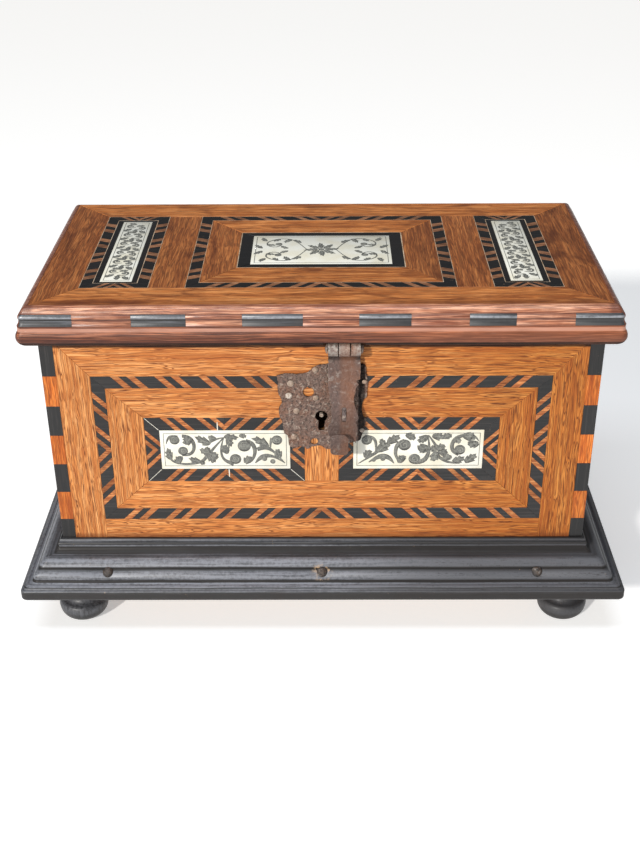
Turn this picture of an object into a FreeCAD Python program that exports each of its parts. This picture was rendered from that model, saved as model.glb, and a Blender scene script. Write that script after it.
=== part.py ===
import FreeCAD, Part
import Sketcher
import math
import os

V = FreeCAD.Vector
doc = FreeCAD.newDocument("casket")
sheet = doc.addObject("Spreadsheet::Sheet", "dims")

# Driving dimensions in millimetres and degrees, one named cell each
DIMENSIONS = {
    # Carcass of dovetailed boards
    "carcass_width": 380.0,
    "carcass_depth": 190.0,
    "wall_height": 183.8,
    "wall_thick": 14.0,
    "veneer_thick": 2.0,
    "tail_width": 20.0,
    "tail_flare": 2.5,
    "corner_strip": 9.5,
    # Base, feet and plinth moulding
    "foot_height": 30.0,
    "foot_radius": 18.0,
    "foot_inset_x": 10.0,
    "foot_outset_y": 1.0,
    "tenon_radius": 6.0,
    "tenon_length": 10.0,
    "base_thick": 12.0,
    "base_lap": 12.0,
    "plinth_height": 36.5,
    "plinth_projection": 29.3,
    "stud_radius": 4.0,
    "stud_spacing": 156.0,
    # Marquetry of the front and the ends
    "front_top_border": 26.8,
    "front_side_border": 23.1,
    "band_width": 9.3,
    "band_height": 116.5,
    "field_border_x": 24.6,
    "field_border_z": 23.0,
    "plaque_band": 10.2,
    "stile_width": 24.0,
    "end_side_border": 21.5,
    "end_field_border": 24.0,
    # Marquetry lamellae, measured along a run
    "lamella_dark": 13.0,
    "lamella_light": 5.3,
    "lamella_thin": 5.4,
    "lid_lamella_lean": 0.45,
    # Lid
    "lid_gap": 0.3,
    "lid_overhang": 12.0,
    "lid_rail_height": 14.6,
    "lid_rail_width": 26.0,
    "lid_rebate": 4.0,
    "lid_board_thick": 14.5,
    "lid_strip_height": 7.9,
    "lid_skin_reach": 2.7,
    # Marquetry of the lid, half sizes from the middle
    "lid_panel_half_y": 69.5,
    "lid_centre_half_x": 92.0,
    "lid_centre_band": 8.5,
    "lid_frame_half_x": 59.2,
    "lid_frame_half_y": 34.2,
    "lid_frame_side": 9.0,
    "lid_frame_end": 6.4,
    "lid_side_inset": 49.3,
    "lid_side_half_x": 23.3,
    "lid_side_band": 8.0,
    "lid_string_side": 4.3,
    "lid_string_end": 3.0,
    # Rear hinges
    "hinge_inset": 80.0,
    "hinge_length": 42.0,
    "hinge_offset": 2.2,
    "hinge_knuckle": 3.2,
    "hinge_pin": 1.4,
    "leaf_thick": 1.4,
    "nail_radius": 1.1,
    "nail_length": 9.0,
    "pin_clearance": 0.05,
    "knuckle_clearance": 0.3,
    "swing_clearance": 0.5,
    # Lock plate and mechanism
    "lock_drop": 57.6,
    "plate_width": 62.0,
    "plate_height": 69.0,
    "plate_thick": 1.6,
    "keyhole_radius": 3.85,
    "keyhole_slot_width": 3.6,
    "keyhole_drop": 10.7,
    "key_pin_radius": 1.5,
    "mortise_left": 14.5,
    "mortise_right": 25.0,
    "mortise_below": 12.0,
    "mortise_above": 12.3,
    "cap_margin": 8.0,
    "cap_thick": 1.5,
    "bolt_rise": 6.7,
    "bolt_height": 5.0,
    "bolt_thick": 1.8,
    "bolt_length": 26.5,
    "bolt_reach": 13.0,
    "bolt_clearance": 0.2,
    "guide_wall": 1.5,
    "guide_width": 3.0,
    "guide_left": 9.5,
    "spring_thick": 0.6,
    # Hasp hung on the front of the lid
    "hasp_shift": 15.5,
    "hasp_width": 22.2,
    "hasp_length": 73.2,
    "hasp_thick": 2.0,
    "hasp_inset": 0.3,
    "hasp_knuckle": 5.35,
    "hasp_pin": 1.6,
    "hasp_tilt": 8.0,
    "hasp_standoff": 0.4,
    "hasp_leaf_thick": 2.2,
    "hasp_leaf_length": 24.0,
    "lip_width": 12.8,
    "lip_height": 13.0,
    "lip_radius": 4.2,
    "lip_corner": 4.0,
    "staple_width": 2.6,
    "staple_height": 10.0,
    "staple_reach": 6.4,
    "staple_bar": 2.0,
}
TAILS_PER_CORNER = 5
# Ebony lengths of the lid's front edge as shares of the carcass width
EBONY_SPANS = [
    (-0.60, -0.430), (-0.328, -0.233), (-0.136, -0.031),
    (0.066, 0.156), (0.256, 0.337), (0.438, 0.60),
]

for row, (alias, number) in enumerate(DIMENSIONS.items(), 1):
    sheet.set(f"A{row}", alias)
    sheet.set(f"B{row}", str(number))
    sheet.setAlias(f"B{row}", alias)
doc.recompute()

# Levels and outlines that follow from the driving dimensions
HALF_W = "(dims.carcass_width / 2)"
HALF_D = "(dims.carcass_depth / 2)"
CORE_W = "(dims.carcass_width / 2 - dims.veneer_thick)"
CORE_D = "(dims.carcass_depth / 2 - dims.veneer_thick)"
INNER_W = "(dims.carcass_width / 2 - dims.veneer_thick - dims.wall_thick)"
INNER_D = "(dims.carcass_depth / 2 - dims.veneer_thick - dims.wall_thick)"
BASE_TOP = "(dims.foot_height + dims.base_thick)"
RIM = f"({BASE_TOP} + dims.wall_height)"
LID_UNDER = f"({RIM} + dims.lid_gap)"
LID_SEAT = f"({LID_UNDER} + dims.lid_rail_height - dims.lid_rebate)"
LID_CORE_TOP = f"({LID_SEAT} + dims.lid_board_thick)"
LID_TOP = f"({LID_CORE_TOP} + dims.veneer_thick)"
STRIP_LOW = f"({LID_UNDER} + dims.lid_rail_height)"
ROLL_LOW = f"({STRIP_LOW} + dims.lid_strip_height)"
STRIP_X = f"({HALF_W} - dims.corner_strip)"
STRIP_Y = f"({HALF_D} - dims.corner_strip)"
BAND_TOP = f"({RIM} - dims.front_top_border)"
BAND_LOW = f"({BAND_TOP} - dims.band_height)"
BAND_X = f"({STRIP_X} - dims.front_side_border)"
FIELD_X = f"({BAND_X} - dims.band_width)"
FIELD_TOP = f"({BAND_TOP} - dims.band_width)"
FIELD_LOW = f"({BAND_LOW} + dims.band_width)"
PANEL_X = f"({FIELD_X} - dims.field_border_x)"
PANEL_TOP = f"({FIELD_TOP} - dims.field_border_z)"
PANEL_LOW = f"({FIELD_LOW} + dims.field_border_z)"
HALF_STILE = "(dims.stile_width / 2)"
HINGE_Y = f"({HALF_D} + dims.hinge_offset)"
HINGE_Z = f"({RIM} + dims.lid_gap / 2)"
PLATE_FRONT = f"(-{HALF_D} - dims.plate_thick)"
KEY_Z = f"({RIM} - dims.lock_drop)"
BOLT_Z = f"({KEY_Z} + dims.bolt_rise)"
HASP_Y = f"({PLATE_FRONT} - dims.hasp_standoff - dims.hasp_knuckle)"
HASP_Z = f"({LID_UNDER} + dims.hasp_leaf_thick - dims.hasp_knuckle)"
LID_EDGE_X = f"({HALF_W} - dims.lid_rebate)"
LID_EDGE_Y = f"({HALF_D} - dims.lid_rebate)"
SIDE_MIDDLE = f"({HALF_W} - dims.lid_side_inset)"
SKIN_X = f"({HALF_W} + dims.lid_skin_reach)"
SKIN_Y = f"({HALF_D} + dims.lid_skin_reach)"

# Ways to lay a local X, Y, Z in the shared frame
PLAN = FreeCAD.Rotation()
PLAN_STILE = FreeCAD.Rotation(V(0, 1, 0), V(1, 0, 0), V(0, 0, -1), "XYZ")
FRONT = FreeCAD.Rotation(V(1, 0, 0), V(0, 0, 1), V(0, -1, 0), "XYZ")
FRONT_STILE = FreeCAD.Rotation(V(0, 0, 1), V(1, 0, 0), V(0, 1, 0), "XYZ")
END = FreeCAD.Rotation(V(0, 1, 0), V(0, 0, 1), V(1, 0, 0), "XYZ")
END_STILE = FreeCAD.Rotation(V(0, 0, 1), V(0, 1, 0), V(-1, 0, 0), "XYZ")

nodes = []


def value(expression):
    """The number that an expression over the sheet gives now."""
    return float(sheet.evalExpression(expression))


def place(item, base, turn=PLAN):
    """Turns an object, then binds its base point to the sheet."""
    item.Placement = FreeCAD.Placement(V(0, 0, 0), turn)
    for axis, expression in zip("xyz", base):
        item.setExpression(f"Placement.Base.{axis}", str(expression))


def block(name, low, high):
    """A box between two corners given as expressions."""
    item = doc.addObject("Part::Box", name)
    for side, a, b in zip(("Length", "Width", "Height"), low, high):
        item.setExpression(side, f"({b}) - ({a})")
    place(item, low)
    return item


def rod(name, radius, length, base, turn=PLAN):
    """A cylinder along its local Z."""
    item = doc.addObject("Part::Cylinder", name)
    item.setExpression("Radius", radius)
    item.setExpression("Height", length)
    place(item, base, turn)
    return item


def trapezoid(name, turn, taper, near, far, thick, base):
    """A tapered plate: near is its span at the start of the taper, far at the end."""
    item = doc.addObject("Part::Wedge", name)
    spans = {
        "Ymin": taper[0], "Ymax": taper[1],
        "Xmin": near[0], "Xmax": near[1],
        "X2min": far[0], "X2max": far[1],
        "Zmin": "0", "Zmax": thick, "Z2min": "0", "Z2max": thick,
    }
    for key, expression in spans.items():
        item.setExpression(key, str(expression))
    place(item, base, turn)
    return item


def fused(name, members):
    """One solid from several."""
    item = doc.addObject("Part::MultiFuse", name)
    item.Shapes = members
    item.Refine = True
    return item


def cut(name, base, tools):
    """A piece with its housings, holes and rebates cut."""
    item = doc.addObject("Part::Cut", name)
    item.Base = base
    item.Tool = tools[0] if len(tools) == 1 else fused(f"{name}_tools", tools)
    return item


def grouped(name, members):
    """Separate solids kept as one node."""
    item = doc.addObject("Part::Compound", name)
    item.Links = members
    return item


def node(item, name):
    """Marks an object as a sub-part of the assembly."""
    item.Label = name
    nodes.append((item, name))
    return item


def sketch(body, name, role, loops):
    """A sketch on one of a body's own origin planes.

    Each loop is a list of corners (x, y, bow): bow is 0 for a straight side to
    the next corner, else the arc's radius over its chord, positive where the
    arc stands out to the left of its direction.
    """
    item = body.newObject("Sketcher::SketchObject", name)
    plane = [f for f in body.Origin.OriginFeatures if f.Role == role][0]
    item.AttachmentSupport = [(plane, "")]
    item.MapMode = "FlatFace"
    for loop in loops:
        outline(item, loop)
    return item


def outline(item, loop):
    """Adds one closed loop of lines and arcs whose corners follow the sheet."""
    corners = [V(value(x), value(y), 0) for x, y, bow in loop]
    first = item.GeometryCount
    starts, ends = [], []
    for i, (x, y, bow) in enumerate(loop):
        a, b = corners[i], corners[(i + 1) % len(loop)]
        chord = b - a
        if not bow:
            index = item.addGeometry(Part.LineSegment(a, b), False)
        else:
            radius = abs(bow) * chord.Length
            rise = radius - math.sqrt(radius ** 2 - chord.Length ** 2 / 4)
            left = V(-chord.y, chord.x, 0).normalize()
            middle = (a + b) * 0.5 + left * math.copysign(rise, bow)
            index = item.addGeometry(Part.Arc(a, middle, b), False)
        straight = (item.getPoint(index, 1) - a).Length < 1e-6
        starts.append((index, 1 if straight else 2))
        ends.append((index, 2 if straight else 1))
    for i in range(len(loop)):
        item.addConstraint(Sketcher.Constraint("Coincident", *ends[i], *starts[(i + 1) % len(loop)]))
    for i, (x, y, bow) in enumerate(loop):
        bind(item, "DistanceX", starts[i], x, f"x{first + i}")
        bind(item, "DistanceY", starts[i], y, f"y{first + i}")
        if bow:
            nx, ny, _ = loop[(i + 1) % len(loop)]
            rule = f"{abs(bow)} * sqrt((({nx}) - ({x}))^2 + (({ny}) - ({y}))^2)"
            number = item.addConstraint(Sketcher.Constraint("Radius", starts[i][0], value(rule)))
            item.renameConstraint(number, f"r{first + i}")
            item.setExpression(f"Constraints.r{first + i}", rule)


def bind(item, kind, point, expression, name):
    """Holds one coordinate of a sketch point at an expression."""
    number = value(expression)
    if number >= 0:
        index = item.addConstraint(Sketcher.Constraint(kind, -1, 1, *point, number))
    else:
        index = item.addConstraint(Sketcher.Constraint(kind, *point, -1, 1, -number))
    item.renameConstraint(index, name)
    item.setExpression(f"Constraints.{name}", expression if number >= 0 else f"-({expression})")


def circle(item, x, y, radius):
    """Adds a circle whose centre and radius follow the sheet."""
    index = item.addGeometry(Part.Circle(V(value(x), value(y), 0), V(0, 0, 1), value(radius)), False)
    bind(item, "DistanceX", (index, 3), x, f"x{index}")
    bind(item, "DistanceY", (index, 3), y, f"y{index}")
    number = item.addConstraint(Sketcher.Constraint("Radius", index, value(radius)))
    item.renameConstraint(number, f"r{index}")
    item.setExpression(f"Constraints.r{index}", radius)


def padded(body, profile, name, length, midplane=False, reverse=False):
    """Pads a sketch by a length from the sheet."""
    pad = body.newObject("PartDesign::Pad", name)
    pad.Profile = profile
    pad.setExpression("Length", length)
    pad.Midplane = midplane
    pad.Reversed = reverse
    return pad


def pocketed(body, profile, name, depth="2 * dims.carcass_width"):
    """Cuts a sketch to both sides of its plane and checks that it removed something."""
    doc.recompute()
    before = body.Shape.Volume
    pocket = body.newObject("PartDesign::Pocket", name)
    pocket.Profile = profile
    pocket.Type = "Length"
    pocket.setExpression("Length", depth)
    pocket.Midplane = True
    doc.recompute()
    if body.Shape.Volume > before - 1e-3:
        raise SystemExit(f"{name} cut nothing")
    return pocket


# Carcass boards with through dovetails, rebated for the corner strips

def corner_tails(front):
    """The tails of the front or back board, right and left."""
    side = "front" if front else "back"
    y = f"-{CORE_D}" if front else INNER_D
    tails = []
    for i in range(TAILS_PER_CORNER):
        middle = f"({BASE_TOP} + {i + 0.5} * dims.wall_height / {TAILS_PER_CORNER})"
        root = (f"{middle} - dims.tail_width / 2", f"{middle} + dims.tail_width / 2")
        tip = (f"{root[0]} - dims.tail_flare", f"{root[1]} + dims.tail_flare")
        tails.append(trapezoid(f"tail_{side}_right_{i}", FRONT_STILE, (INNER_W, CORE_W), root, tip,
                               "dims.wall_thick", ("0", y, "0")))
        tails.append(trapezoid(f"tail_{side}_left_{i}", FRONT_STILE, (f"-{CORE_W}", f"-{INNER_W}"), tip, root,
                               "dims.wall_thick", ("0", y, "0")))
    return tails


def corner_blocks(name, low, high):
    """A block of the corner strip at each of the four corners."""
    spans_x = ((f"-{HALF_W}", f"-{STRIP_X}"), (STRIP_X, HALF_W))
    spans_y = ((f"-{HALF_D}", f"-{STRIP_Y}"), (STRIP_Y, HALF_D))
    found = []
    for i, (x0, x1) in enumerate(spans_x):
        for j, (y0, y1) in enumerate(spans_y):
            found.append(block(f"{name}_{i}{j}", (x0, y0, low), (x1, y1, high)))
    return found


tails_front = corner_tails(True)
tails_back = corner_tails(False)
rebates = fused("corner_rebates", corner_blocks("rebate", BASE_TOP, RIM))
mortise = block(
    "mortise",
    ("-dims.mortise_left", f"-{HALF_D}", f"{KEY_Z} - dims.mortise_below"),
    ("dims.mortise_right", f"-{INNER_D}", f"{KEY_Z} + dims.mortise_above"))

# Iron nails: shanks that are driven in, with domed heads where they show

def nail(name, base, turn, length="dims.nail_length"):
    """The plain shank of a nail."""
    return rod(name, "dims.nail_radius", length, base, turn)


def dome(name, base, turn, radius):
    """A low domed head whose flat side lies at the base point."""
    item = doc.addObject("Part::Sphere", name)
    item.setExpression("Radius", radius)
    item.Angle1 = 40
    item.Angle2 = 90
    sink = math.sin(math.radians(40))
    out = turn.multVec(V(0, 0, 1))
    base = [f"({b}) - {round(o * sink, 6)} * ({radius})" for b, o in zip(base, out)]
    place(item, base, turn)
    return item


TO_FRONT = FreeCAD.Rotation(V(1, 0, 0), V(0, 0, 1), V(0, -1, 0), "XYZ")
TO_BACK = FreeCAD.Rotation(V(1, 0, 0), V(0, 0, -1), V(0, 1, 0), "XYZ")
TO_RIGHT = FreeCAD.Rotation(V(0, 1, 0), V(0, 0, 1), V(1, 0, 0), "XYZ")
TO_LEFT = FreeCAD.Rotation(V(0, 1, 0), V(0, 0, -1), V(-1, 0, 0), "XYZ")
DOWN = FreeCAD.Rotation(V(1, 0, 0), V(0, -1, 0), V(0, 0, -1), "XYZ")

# Nails of the lock plate as (across, up) from the keyhole, and the size of the head
PLATE_NAILS = {
    "top_left": (-21.0, 25.8, 3.4),
    "upper_left": (-22.3, 16.5, 3.4),
    "middle_left": (-17.3, 4.6, 3.2),
    "lower_left": (-19.2, -16.0, 3.2),
    "top": (-4.2, 36.3, 3.0),
    "centre": (-4.0, 14.6, 3.0),
    "upper_right": (29.3, 27.0, 2.4),
    "lower_right": (28.2, -11.0, 2.4),
}
plate_shanks = []
plate_nails = []
for key, (across, up, head) in PLATE_NAILS.items():
    spot = (str(across), PLATE_FRONT, f"{KEY_Z} + ({up})")
    shank = nail(f"plate_shank_{key}", spot, TO_BACK)
    plate_shanks.append(shank)
    cap_of_nail = dome(f"plate_head_{key}", spot, TO_FRONT, str(head))
    plate_nails.append(fused(f"plate_nail_{key}", [shank, cap_of_nail]))

cap_shanks = []
cap_nails = []
for i, (x, z) in enumerate((
        ("-dims.mortise_left - dims.cap_margin / 2", f"{KEY_Z} - dims.mortise_below - dims.cap_margin / 2"),
        ("-dims.mortise_left - dims.cap_margin / 2", f"{KEY_Z} + dims.mortise_above + dims.cap_margin / 2"),
        ("dims.mortise_right + dims.cap_margin / 2", f"{KEY_Z} - dims.mortise_below - dims.cap_margin / 2"),
        ("dims.mortise_right + dims.cap_margin / 2", f"{KEY_Z} + dims.mortise_above + dims.cap_margin / 2"))):
    spot = (x, f"-{INNER_D} + dims.cap_thick", z)
    shank = nail(f"cap_shank_{i}", spot, TO_FRONT, "dims.cap_thick + dims.wall_thick / 3")
    cap_shanks.append(shank)
    cap_nails.append(fused(f"cap_nail_{i}", [shank, dome(f"cap_head_{i}", spot, TO_BACK, "2.6")]))

# Rear butt hinges: leaf on the rim, leaf under the lid, knuckles behind the back

LEAF_END = f"({HINGE_Y} - dims.hinge_knuckle - dims.swing_clearance)"
THIRD = "(dims.hinge_length / 3)"


def hinge(side, sign):
    """Both leaves, the pin and the nails of one hinge; returns its cutting tools too."""
    mid = f"({sign} * ({HALF_W} - dims.hinge_inset))"
    left = f"({mid} - dims.hinge_length / 2)"
    right = f"({mid} + dims.hinge_length / 2)"
    bore = rod(f"hinge_bore_{side}", "dims.hinge_pin + dims.pin_clearance", "dims.hinge_length",
               (left, HINGE_Y, HINGE_Z), TO_RIGHT)
    spans = {
        "box": ((left, f"{left} + {THIRD} - dims.knuckle_clearance"),
                (f"{right} - {THIRD} + dims.knuckle_clearance", right)),
        "lid": ((f"{left} + {THIRD}", f"{right} - {THIRD}"),),
    }
    leaves, gains, nails = {}, {}, {}
    for owner, stretches in spans.items():
        low = f"({RIM} - dims.leaf_thick)" if owner == "box" else LID_UNDER
        high = RIM if owner == "box" else f"({LID_UNDER} + dims.leaf_thick)"
        members = [block(f"leaf_{owner}_{side}", (left, INNER_D, low), (right, LEAF_END, high))]
        for i, (x0, x1) in enumerate(stretches):
            tab = block(f"tab_{owner}_{side}_{i}", (x0, f"{LEAF_END} - 1", low), (x1, HINGE_Y, high))
            members.append(tab)
            members.append(rod(f"knuckle_{owner}_{side}_{i}", "dims.hinge_knuckle", f"({x1}) - ({x0})",
                               (x0, HINGE_Y, HINGE_Z), TO_RIGHT))
        y = f"({INNER_D} + dims.wall_thick / 2)"
        shanks = []
        for i, x in enumerate((f"{left} + dims.hinge_length / 5", f"{right} - dims.hinge_length / 5")):
            level, turn = (high, DOWN) if owner == "box" else (low, PLAN)
            shanks.append(nail(f"hinge_nail_{owner}_{side}_{i}", (x, y, level), turn))
        raw = fused(f"hinge_raw_{owner}_{side}", members)
        leaves[owner] = cut(f"hinge_{side}_{owner}", raw, [bore] + shanks)
        gains[owner] = block(f"gain_{owner}_{side}", (left, INNER_D, low), (right, LEAF_END, high))
        nails[owner] = shanks
    node(leaves["box"], f"hinge_{side}_box_leaf")
    node(leaves["lid"], f"hinge_{side}_lid_leaf")
    pin = rod(f"hinge_pin_{side}", "dims.hinge_pin", "dims.hinge_length", (left, HINGE_Y, HINGE_Z), TO_RIGHT)
    room = "(dims.hinge_knuckle + dims.swing_clearance)"
    notch = block(
        f"hinge_notch_{side}",
        (f"{left} - dims.swing_clearance", LEAF_END, f"{HINGE_Z} - {room}"),
        (f"{right} + dims.swing_clearance", f"{HALF_D} + dims.lid_overhang + 1", f"{HINGE_Z} + {room}"))
    return pin, gains, nails, notch


hinges = [hinge("left", -1), hinge("right", 1)]
node(grouped("hinge_pins", [h[0] for h in hinges]), "hinge_pins")
box_hinge_nails = [n for h in hinges for n in h[2]["box"]]
lid_hinge_nails = [n for h in hinges for n in h[2]["lid"]]
notches = [h[3] for h in hinges]

# Boards
front_raw = fused("front_raw", [block("front_core", (f"-{INNER_W}", f"-{CORE_D}", BASE_TOP),
                                      (INNER_W, f"-{INNER_D}", RIM))] + tails_front)
node(cut("front_board", front_raw, [rebates, mortise] + plate_shanks + cap_shanks), "front_board")
back_raw = fused("back_raw", [block("back_core", (f"-{INNER_W}", INNER_D, BASE_TOP),
                                    (INNER_W, CORE_D, RIM))] + tails_back)
node(cut("back_board", back_raw, [rebates] + [h[1]["box"] for h in hinges] + box_hinge_nails), "back_board")
for side, x0, x1 in (("left", f"-{CORE_W}", f"-{INNER_W}"), ("right", INNER_W, CORE_W)):
    plank = block(f"end_core_{side}", (x0, f"-{CORE_D}", BASE_TOP), (x1, CORE_D, RIM))
    mates = [t for t in tails_front + tails_back if f"_{side}_" in t.Name]
    node(cut(f"end_board_{side}", plank, [rebates] + mates), f"end_board_{side}")

# Corner strips of alternating ebony and padauk blocks
ebony_blocks = corner_blocks("strip_low", BASE_TOP, BAND_LOW) + corner_blocks("strip_top", BAND_TOP, RIM)
padauk_blocks = []
for i in range(5):
    found = corner_blocks(f"strip_{i}", f"{BAND_LOW} + {i} * dims.band_height / 5",
                          f"{BAND_LOW} + {i + 1} * dims.band_height / 5")
    if i % 2:
        ebony_blocks += found
    else:
        padauk_blocks += found
node(grouped("corner_ebony", ebony_blocks), "corner_ebony")
node(grouped("corner_padauk", padauk_blocks), "corner_padauk")

# Base board and turned bun feet
FOOT_X = f"({HALF_W} - dims.foot_inset_x)"
FOOT_Y = f"({HALF_D} + dims.foot_outset_y)"
tenon_holes = []
for side, sx in (("left", "-"), ("right", "")):
    for end, sy in (("front", "-"), ("back", "")):
        tenon_holes.append(rod(f"tenon_hole_{end}_{side}", "dims.tenon_radius", "dims.tenon_length",
                               (f"{sx}{FOOT_X}", f"{sy}{FOOT_Y}", "dims.foot_height")))
        foot = doc.addObject("PartDesign::Body", f"foot_{end}_{side}")
        r, f = "dims.foot_radius", "dims.foot_height"
        shape = sketch(foot, f"foot_profile_{end}_{side}", "XZ_Plane", [[
            ("0", "0", 0),
            (f"0.55 * {r}", "0", -0.80),
            (f"{r}", f"0.30 * {f}", -1.2),
            (f"0.955 * {r}", f"0.47 * {f}", 0),
            (f"0.88 * {r}", f"0.50 * {f}", 0.75),
            (f"0.62 * {r}", f"0.63 * {f}", 0),
            (f"0.71 * {r}", f"0.66 * {f}", -0.62),
            (f"0.71 * {r}", f"0.80 * {f}", 0),
            (f"0.60 * {r}", f"0.83 * {f}", 0),
            (f"0.60 * {r}", f, 0),
            ("dims.tenon_radius - 0.1", f, 0),
            ("dims.tenon_radius - 0.1", f"{f} + dims.tenon_length - 0.3", 0),
            ("0", f"{f} + dims.tenon_length - 0.3", 0),
        ]])
        turned = foot.newObject("PartDesign::Revolution", f"foot_turned_{end}_{side}")
        turned.Profile = shape
        turned.ReferenceAxis = (shape, ["V_Axis"])
        turned.Angle = 360
        place(foot, (f"{sx}{FOOT_X}", f"{sy}{FOOT_Y}", "0"))
        node(foot, f"foot_{end}_{side}")
base = block("base_core", (f"-{HALF_W} - dims.base_lap", f"-{HALF_D} - dims.base_lap", "dims.foot_height"),
             (f"{HALF_W} + dims.base_lap", f"{HALF_D} + dims.base_lap", BASE_TOP))
node(cut("base_board", base, tenon_holes), "base_board")

# Mitred mouldings: a profile padded along its run, with both ends mitred
SIDES = {
    "front": (180, HALF_W, ("0", f"-{HALF_D}")),
    "back": (0, HALF_W, ("0", HALF_D)),
    "left": (90, HALF_D, (f"-{HALF_W}", "0")),
    "right": (-90, HALF_D, (HALF_W, "0")),
}


def moulding(name, side, profile, inner, outer, level):
    """One mitred length: across is measured out from the carcass face."""
    angle, half, face = SIDES[side]
    body = doc.addObject("PartDesign::Body", name)
    section = sketch(body, f"{name}_profile", "YZ_Plane", [profile])
    padded(body, section, f"{name}_run", f"2 * ({half} + {outer})", midplane=True)
    far = f"({outer} + 1)"
    near = f"({inner} - 1)"
    ends = sketch(body, f"{name}_mitres", "XY_Plane", [
        [(f"{half} + {near}", near, 0), (f"{half} + {far}", near, 0), (f"{half} + {far}", far, 0)],
        [(f"-({half} + {near})", near, 0), (f"-({half} + {far})", far, 0), (f"-({half} + {far})", near, 0)],
    ])
    pocketed(body, ends, f"{name}_mitred")
    place(body, (*face, level), FreeCAD.Rotation(V(0, 0, 1), angle))
    return body


def plinth_profile():
    """Stepped plinth: fascia, small bead, cove, two swellings, hollow and two top beads."""
    q, h = "dims.plinth_projection", "dims.plinth_height"
    return [
        ("dims.base_lap", "0", 0),
        (f"0.92 * {q}", "0", -0.72),
        (f"{q}", f"0.066 * {h}", 0),
        (f"{q}", f"0.197 * {h}", -0.72),
        (f"0.962 * {q}", f"0.238 * {h}", 0),
        (f"0.940 * {q}", f"0.236 * {h}", 0),
        (f"0.936 * {q}", f"0.262 * {h}", -1.1),
        (f"0.835 * {q}", f"0.300 * {h}", 0),
        (f"0.820 * {q}", f"0.290 * {h}", 0.9),
        (f"0.722 * {q}", f"0.340 * {h}", -0.95),
        (f"0.587 * {q}", f"0.530 * {h}", 0),
        (f"0.562 * {q}", f"0.545 * {h}", 0),
        (f"0.578 * {q}", f"0.566 * {h}", -0.75),
        (f"0.275 * {q}", f"0.714 * {h}", 0.80),
        (f"0.105 * {q}", f"0.850 * {h}", 0),
        (f"0.110 * {q}", f"0.862 * {h}", -0.62),
        (f"0.085 * {q}", f"0.926 * {h}", 0),
        (f"0.072 * {q}", f"0.930 * {h}", -0.62),
        (f"0.040 * {q}", f"{h}", 0),
        ("0", f"{h}", 0),
        ("0", "dims.base_thick", 0),
        ("dims.base_lap", "dims.base_thick", 0),
    ]


studs = []
for i, x in enumerate(("-dims.stud_spacing", "0", "dims.stud_spacing")):
    spot = (x, f"-{HALF_D} - 0.60 * dims.plinth_projection", "dims.foot_height + 0.485 * dims.plinth_height")
    ball = doc.addObject("Part::Sphere", f"stud_ball_{i}")
    ball.setExpression("Radius", "dims.stud_radius")
    place(ball, spot)
    shank = nail(f"stud_shank_{i}", spot, TO_BACK, "0.45 * dims.plinth_projection")
    studs.append(fused(f"stud_{i}", [ball, shank]))
node(grouped("plinth_studs", studs), "plinth_studs")
for side in SIDES:
    rail = moulding(f"plinth_run_{side}", side, plinth_profile(), "0", "dims.plinth_projection",
                    "dims.foot_height")
    node(cut("plinth_front", rail, studs) if side == "front" else rail, f"plinth_{side}")

# Lid: mitred rails with the nosing, a board let into them, chequered moulding round its edge


def rail_profile():
    """Round nosing under a narrow neck, rebated inside for the lid board."""
    q, h, w = "dims.lid_overhang", "dims.lid_rail_height", "dims.lid_rail_width"
    return [
        (f"-{w}", "0", 0),
        (f"0.66 * {q}", "0", -0.68),
        (f"0.930 * {q}", f"0.68 * {h}", 0),
        (f"0.900 * {q}", f"0.70 * {h}", 2.0),
        (f"0.865 * {q}", f"{h}", 0),
        ("-dims.lid_rebate", f"{h}", 0),
        ("-dims.lid_rebate", f"{h} - dims.lid_rebate", 0),
        (f"-{w}", f"{h} - dims.lid_rebate", 0),
    ]


def strip_profile():
    """Chequered strip: a hollow below a small bead."""
    q, h = "dims.lid_overhang", "dims.lid_strip_height"
    return [
        ("-dims.lid_rebate", "0", 0),
        (f"0.855 * {q}", "0", 1.8),
        (f"0.745 * {q}", f"0.53 * {h}", 0),
        (f"0.765 * {q}", f"0.58 * {h}", -0.70),
        (f"0.660 * {q}", f"{h}", 0),
        ("-dims.lid_rebate", f"{h}", 0),
    ]


def roll_profile():
    """Round top edge of the lid, rebated for the veneer."""
    h = f"({LID_TOP} - {ROLL_LOW})"
    step = f"({LID_CORE_TOP} - {ROLL_LOW})"
    return [
        ("-dims.lid_rebate", "0", 0),
        ("0.650 * dims.lid_overhang", "0", -0.80),
        ("dims.lid_skin_reach", h, 0),
        ("dims.lid_skin_reach", step, 0),
        ("-dims.lid_rebate", step, 0),
    ]


hasp_left = "(dims.hasp_shift - dims.hasp_width / 2)"
hasp_right = "(dims.hasp_shift + dims.hasp_width / 2)"
leaf_front = f"({HASP_Y} + dims.hasp_knuckle + dims.swing_clearance)"
leaf_back = f"({leaf_front} + dims.hasp_leaf_length)"
leaf_top = f"({LID_UNDER} + dims.hasp_leaf_thick)"
hasp_third = "(dims.hasp_width / 3)"
barrel_notch = block(
    "barrel_notch",
    (f"{hasp_left} - 3", f"-{HALF_D} - dims.lid_overhang - 1", f"{LID_UNDER} - 1"),
    (f"{hasp_right} + 3", leaf_front, f"{leaf_top} + dims.swing_clearance"))
leaf_low = (f"{hasp_left} + 1", leaf_front, LID_UNDER)
leaf_high = (f"{hasp_right} - 1", leaf_back, leaf_top)
leaf_gain = block("leaf_gain", leaf_low, leaf_high)
leaf_nails = [
    nail(f"leaf_nail_{i}", (x, f"{leaf_back} - 5", LID_UNDER), PLAN)
    for i, x in enumerate((f"{hasp_left} + 5", f"{hasp_right} - 5"))]

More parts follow.
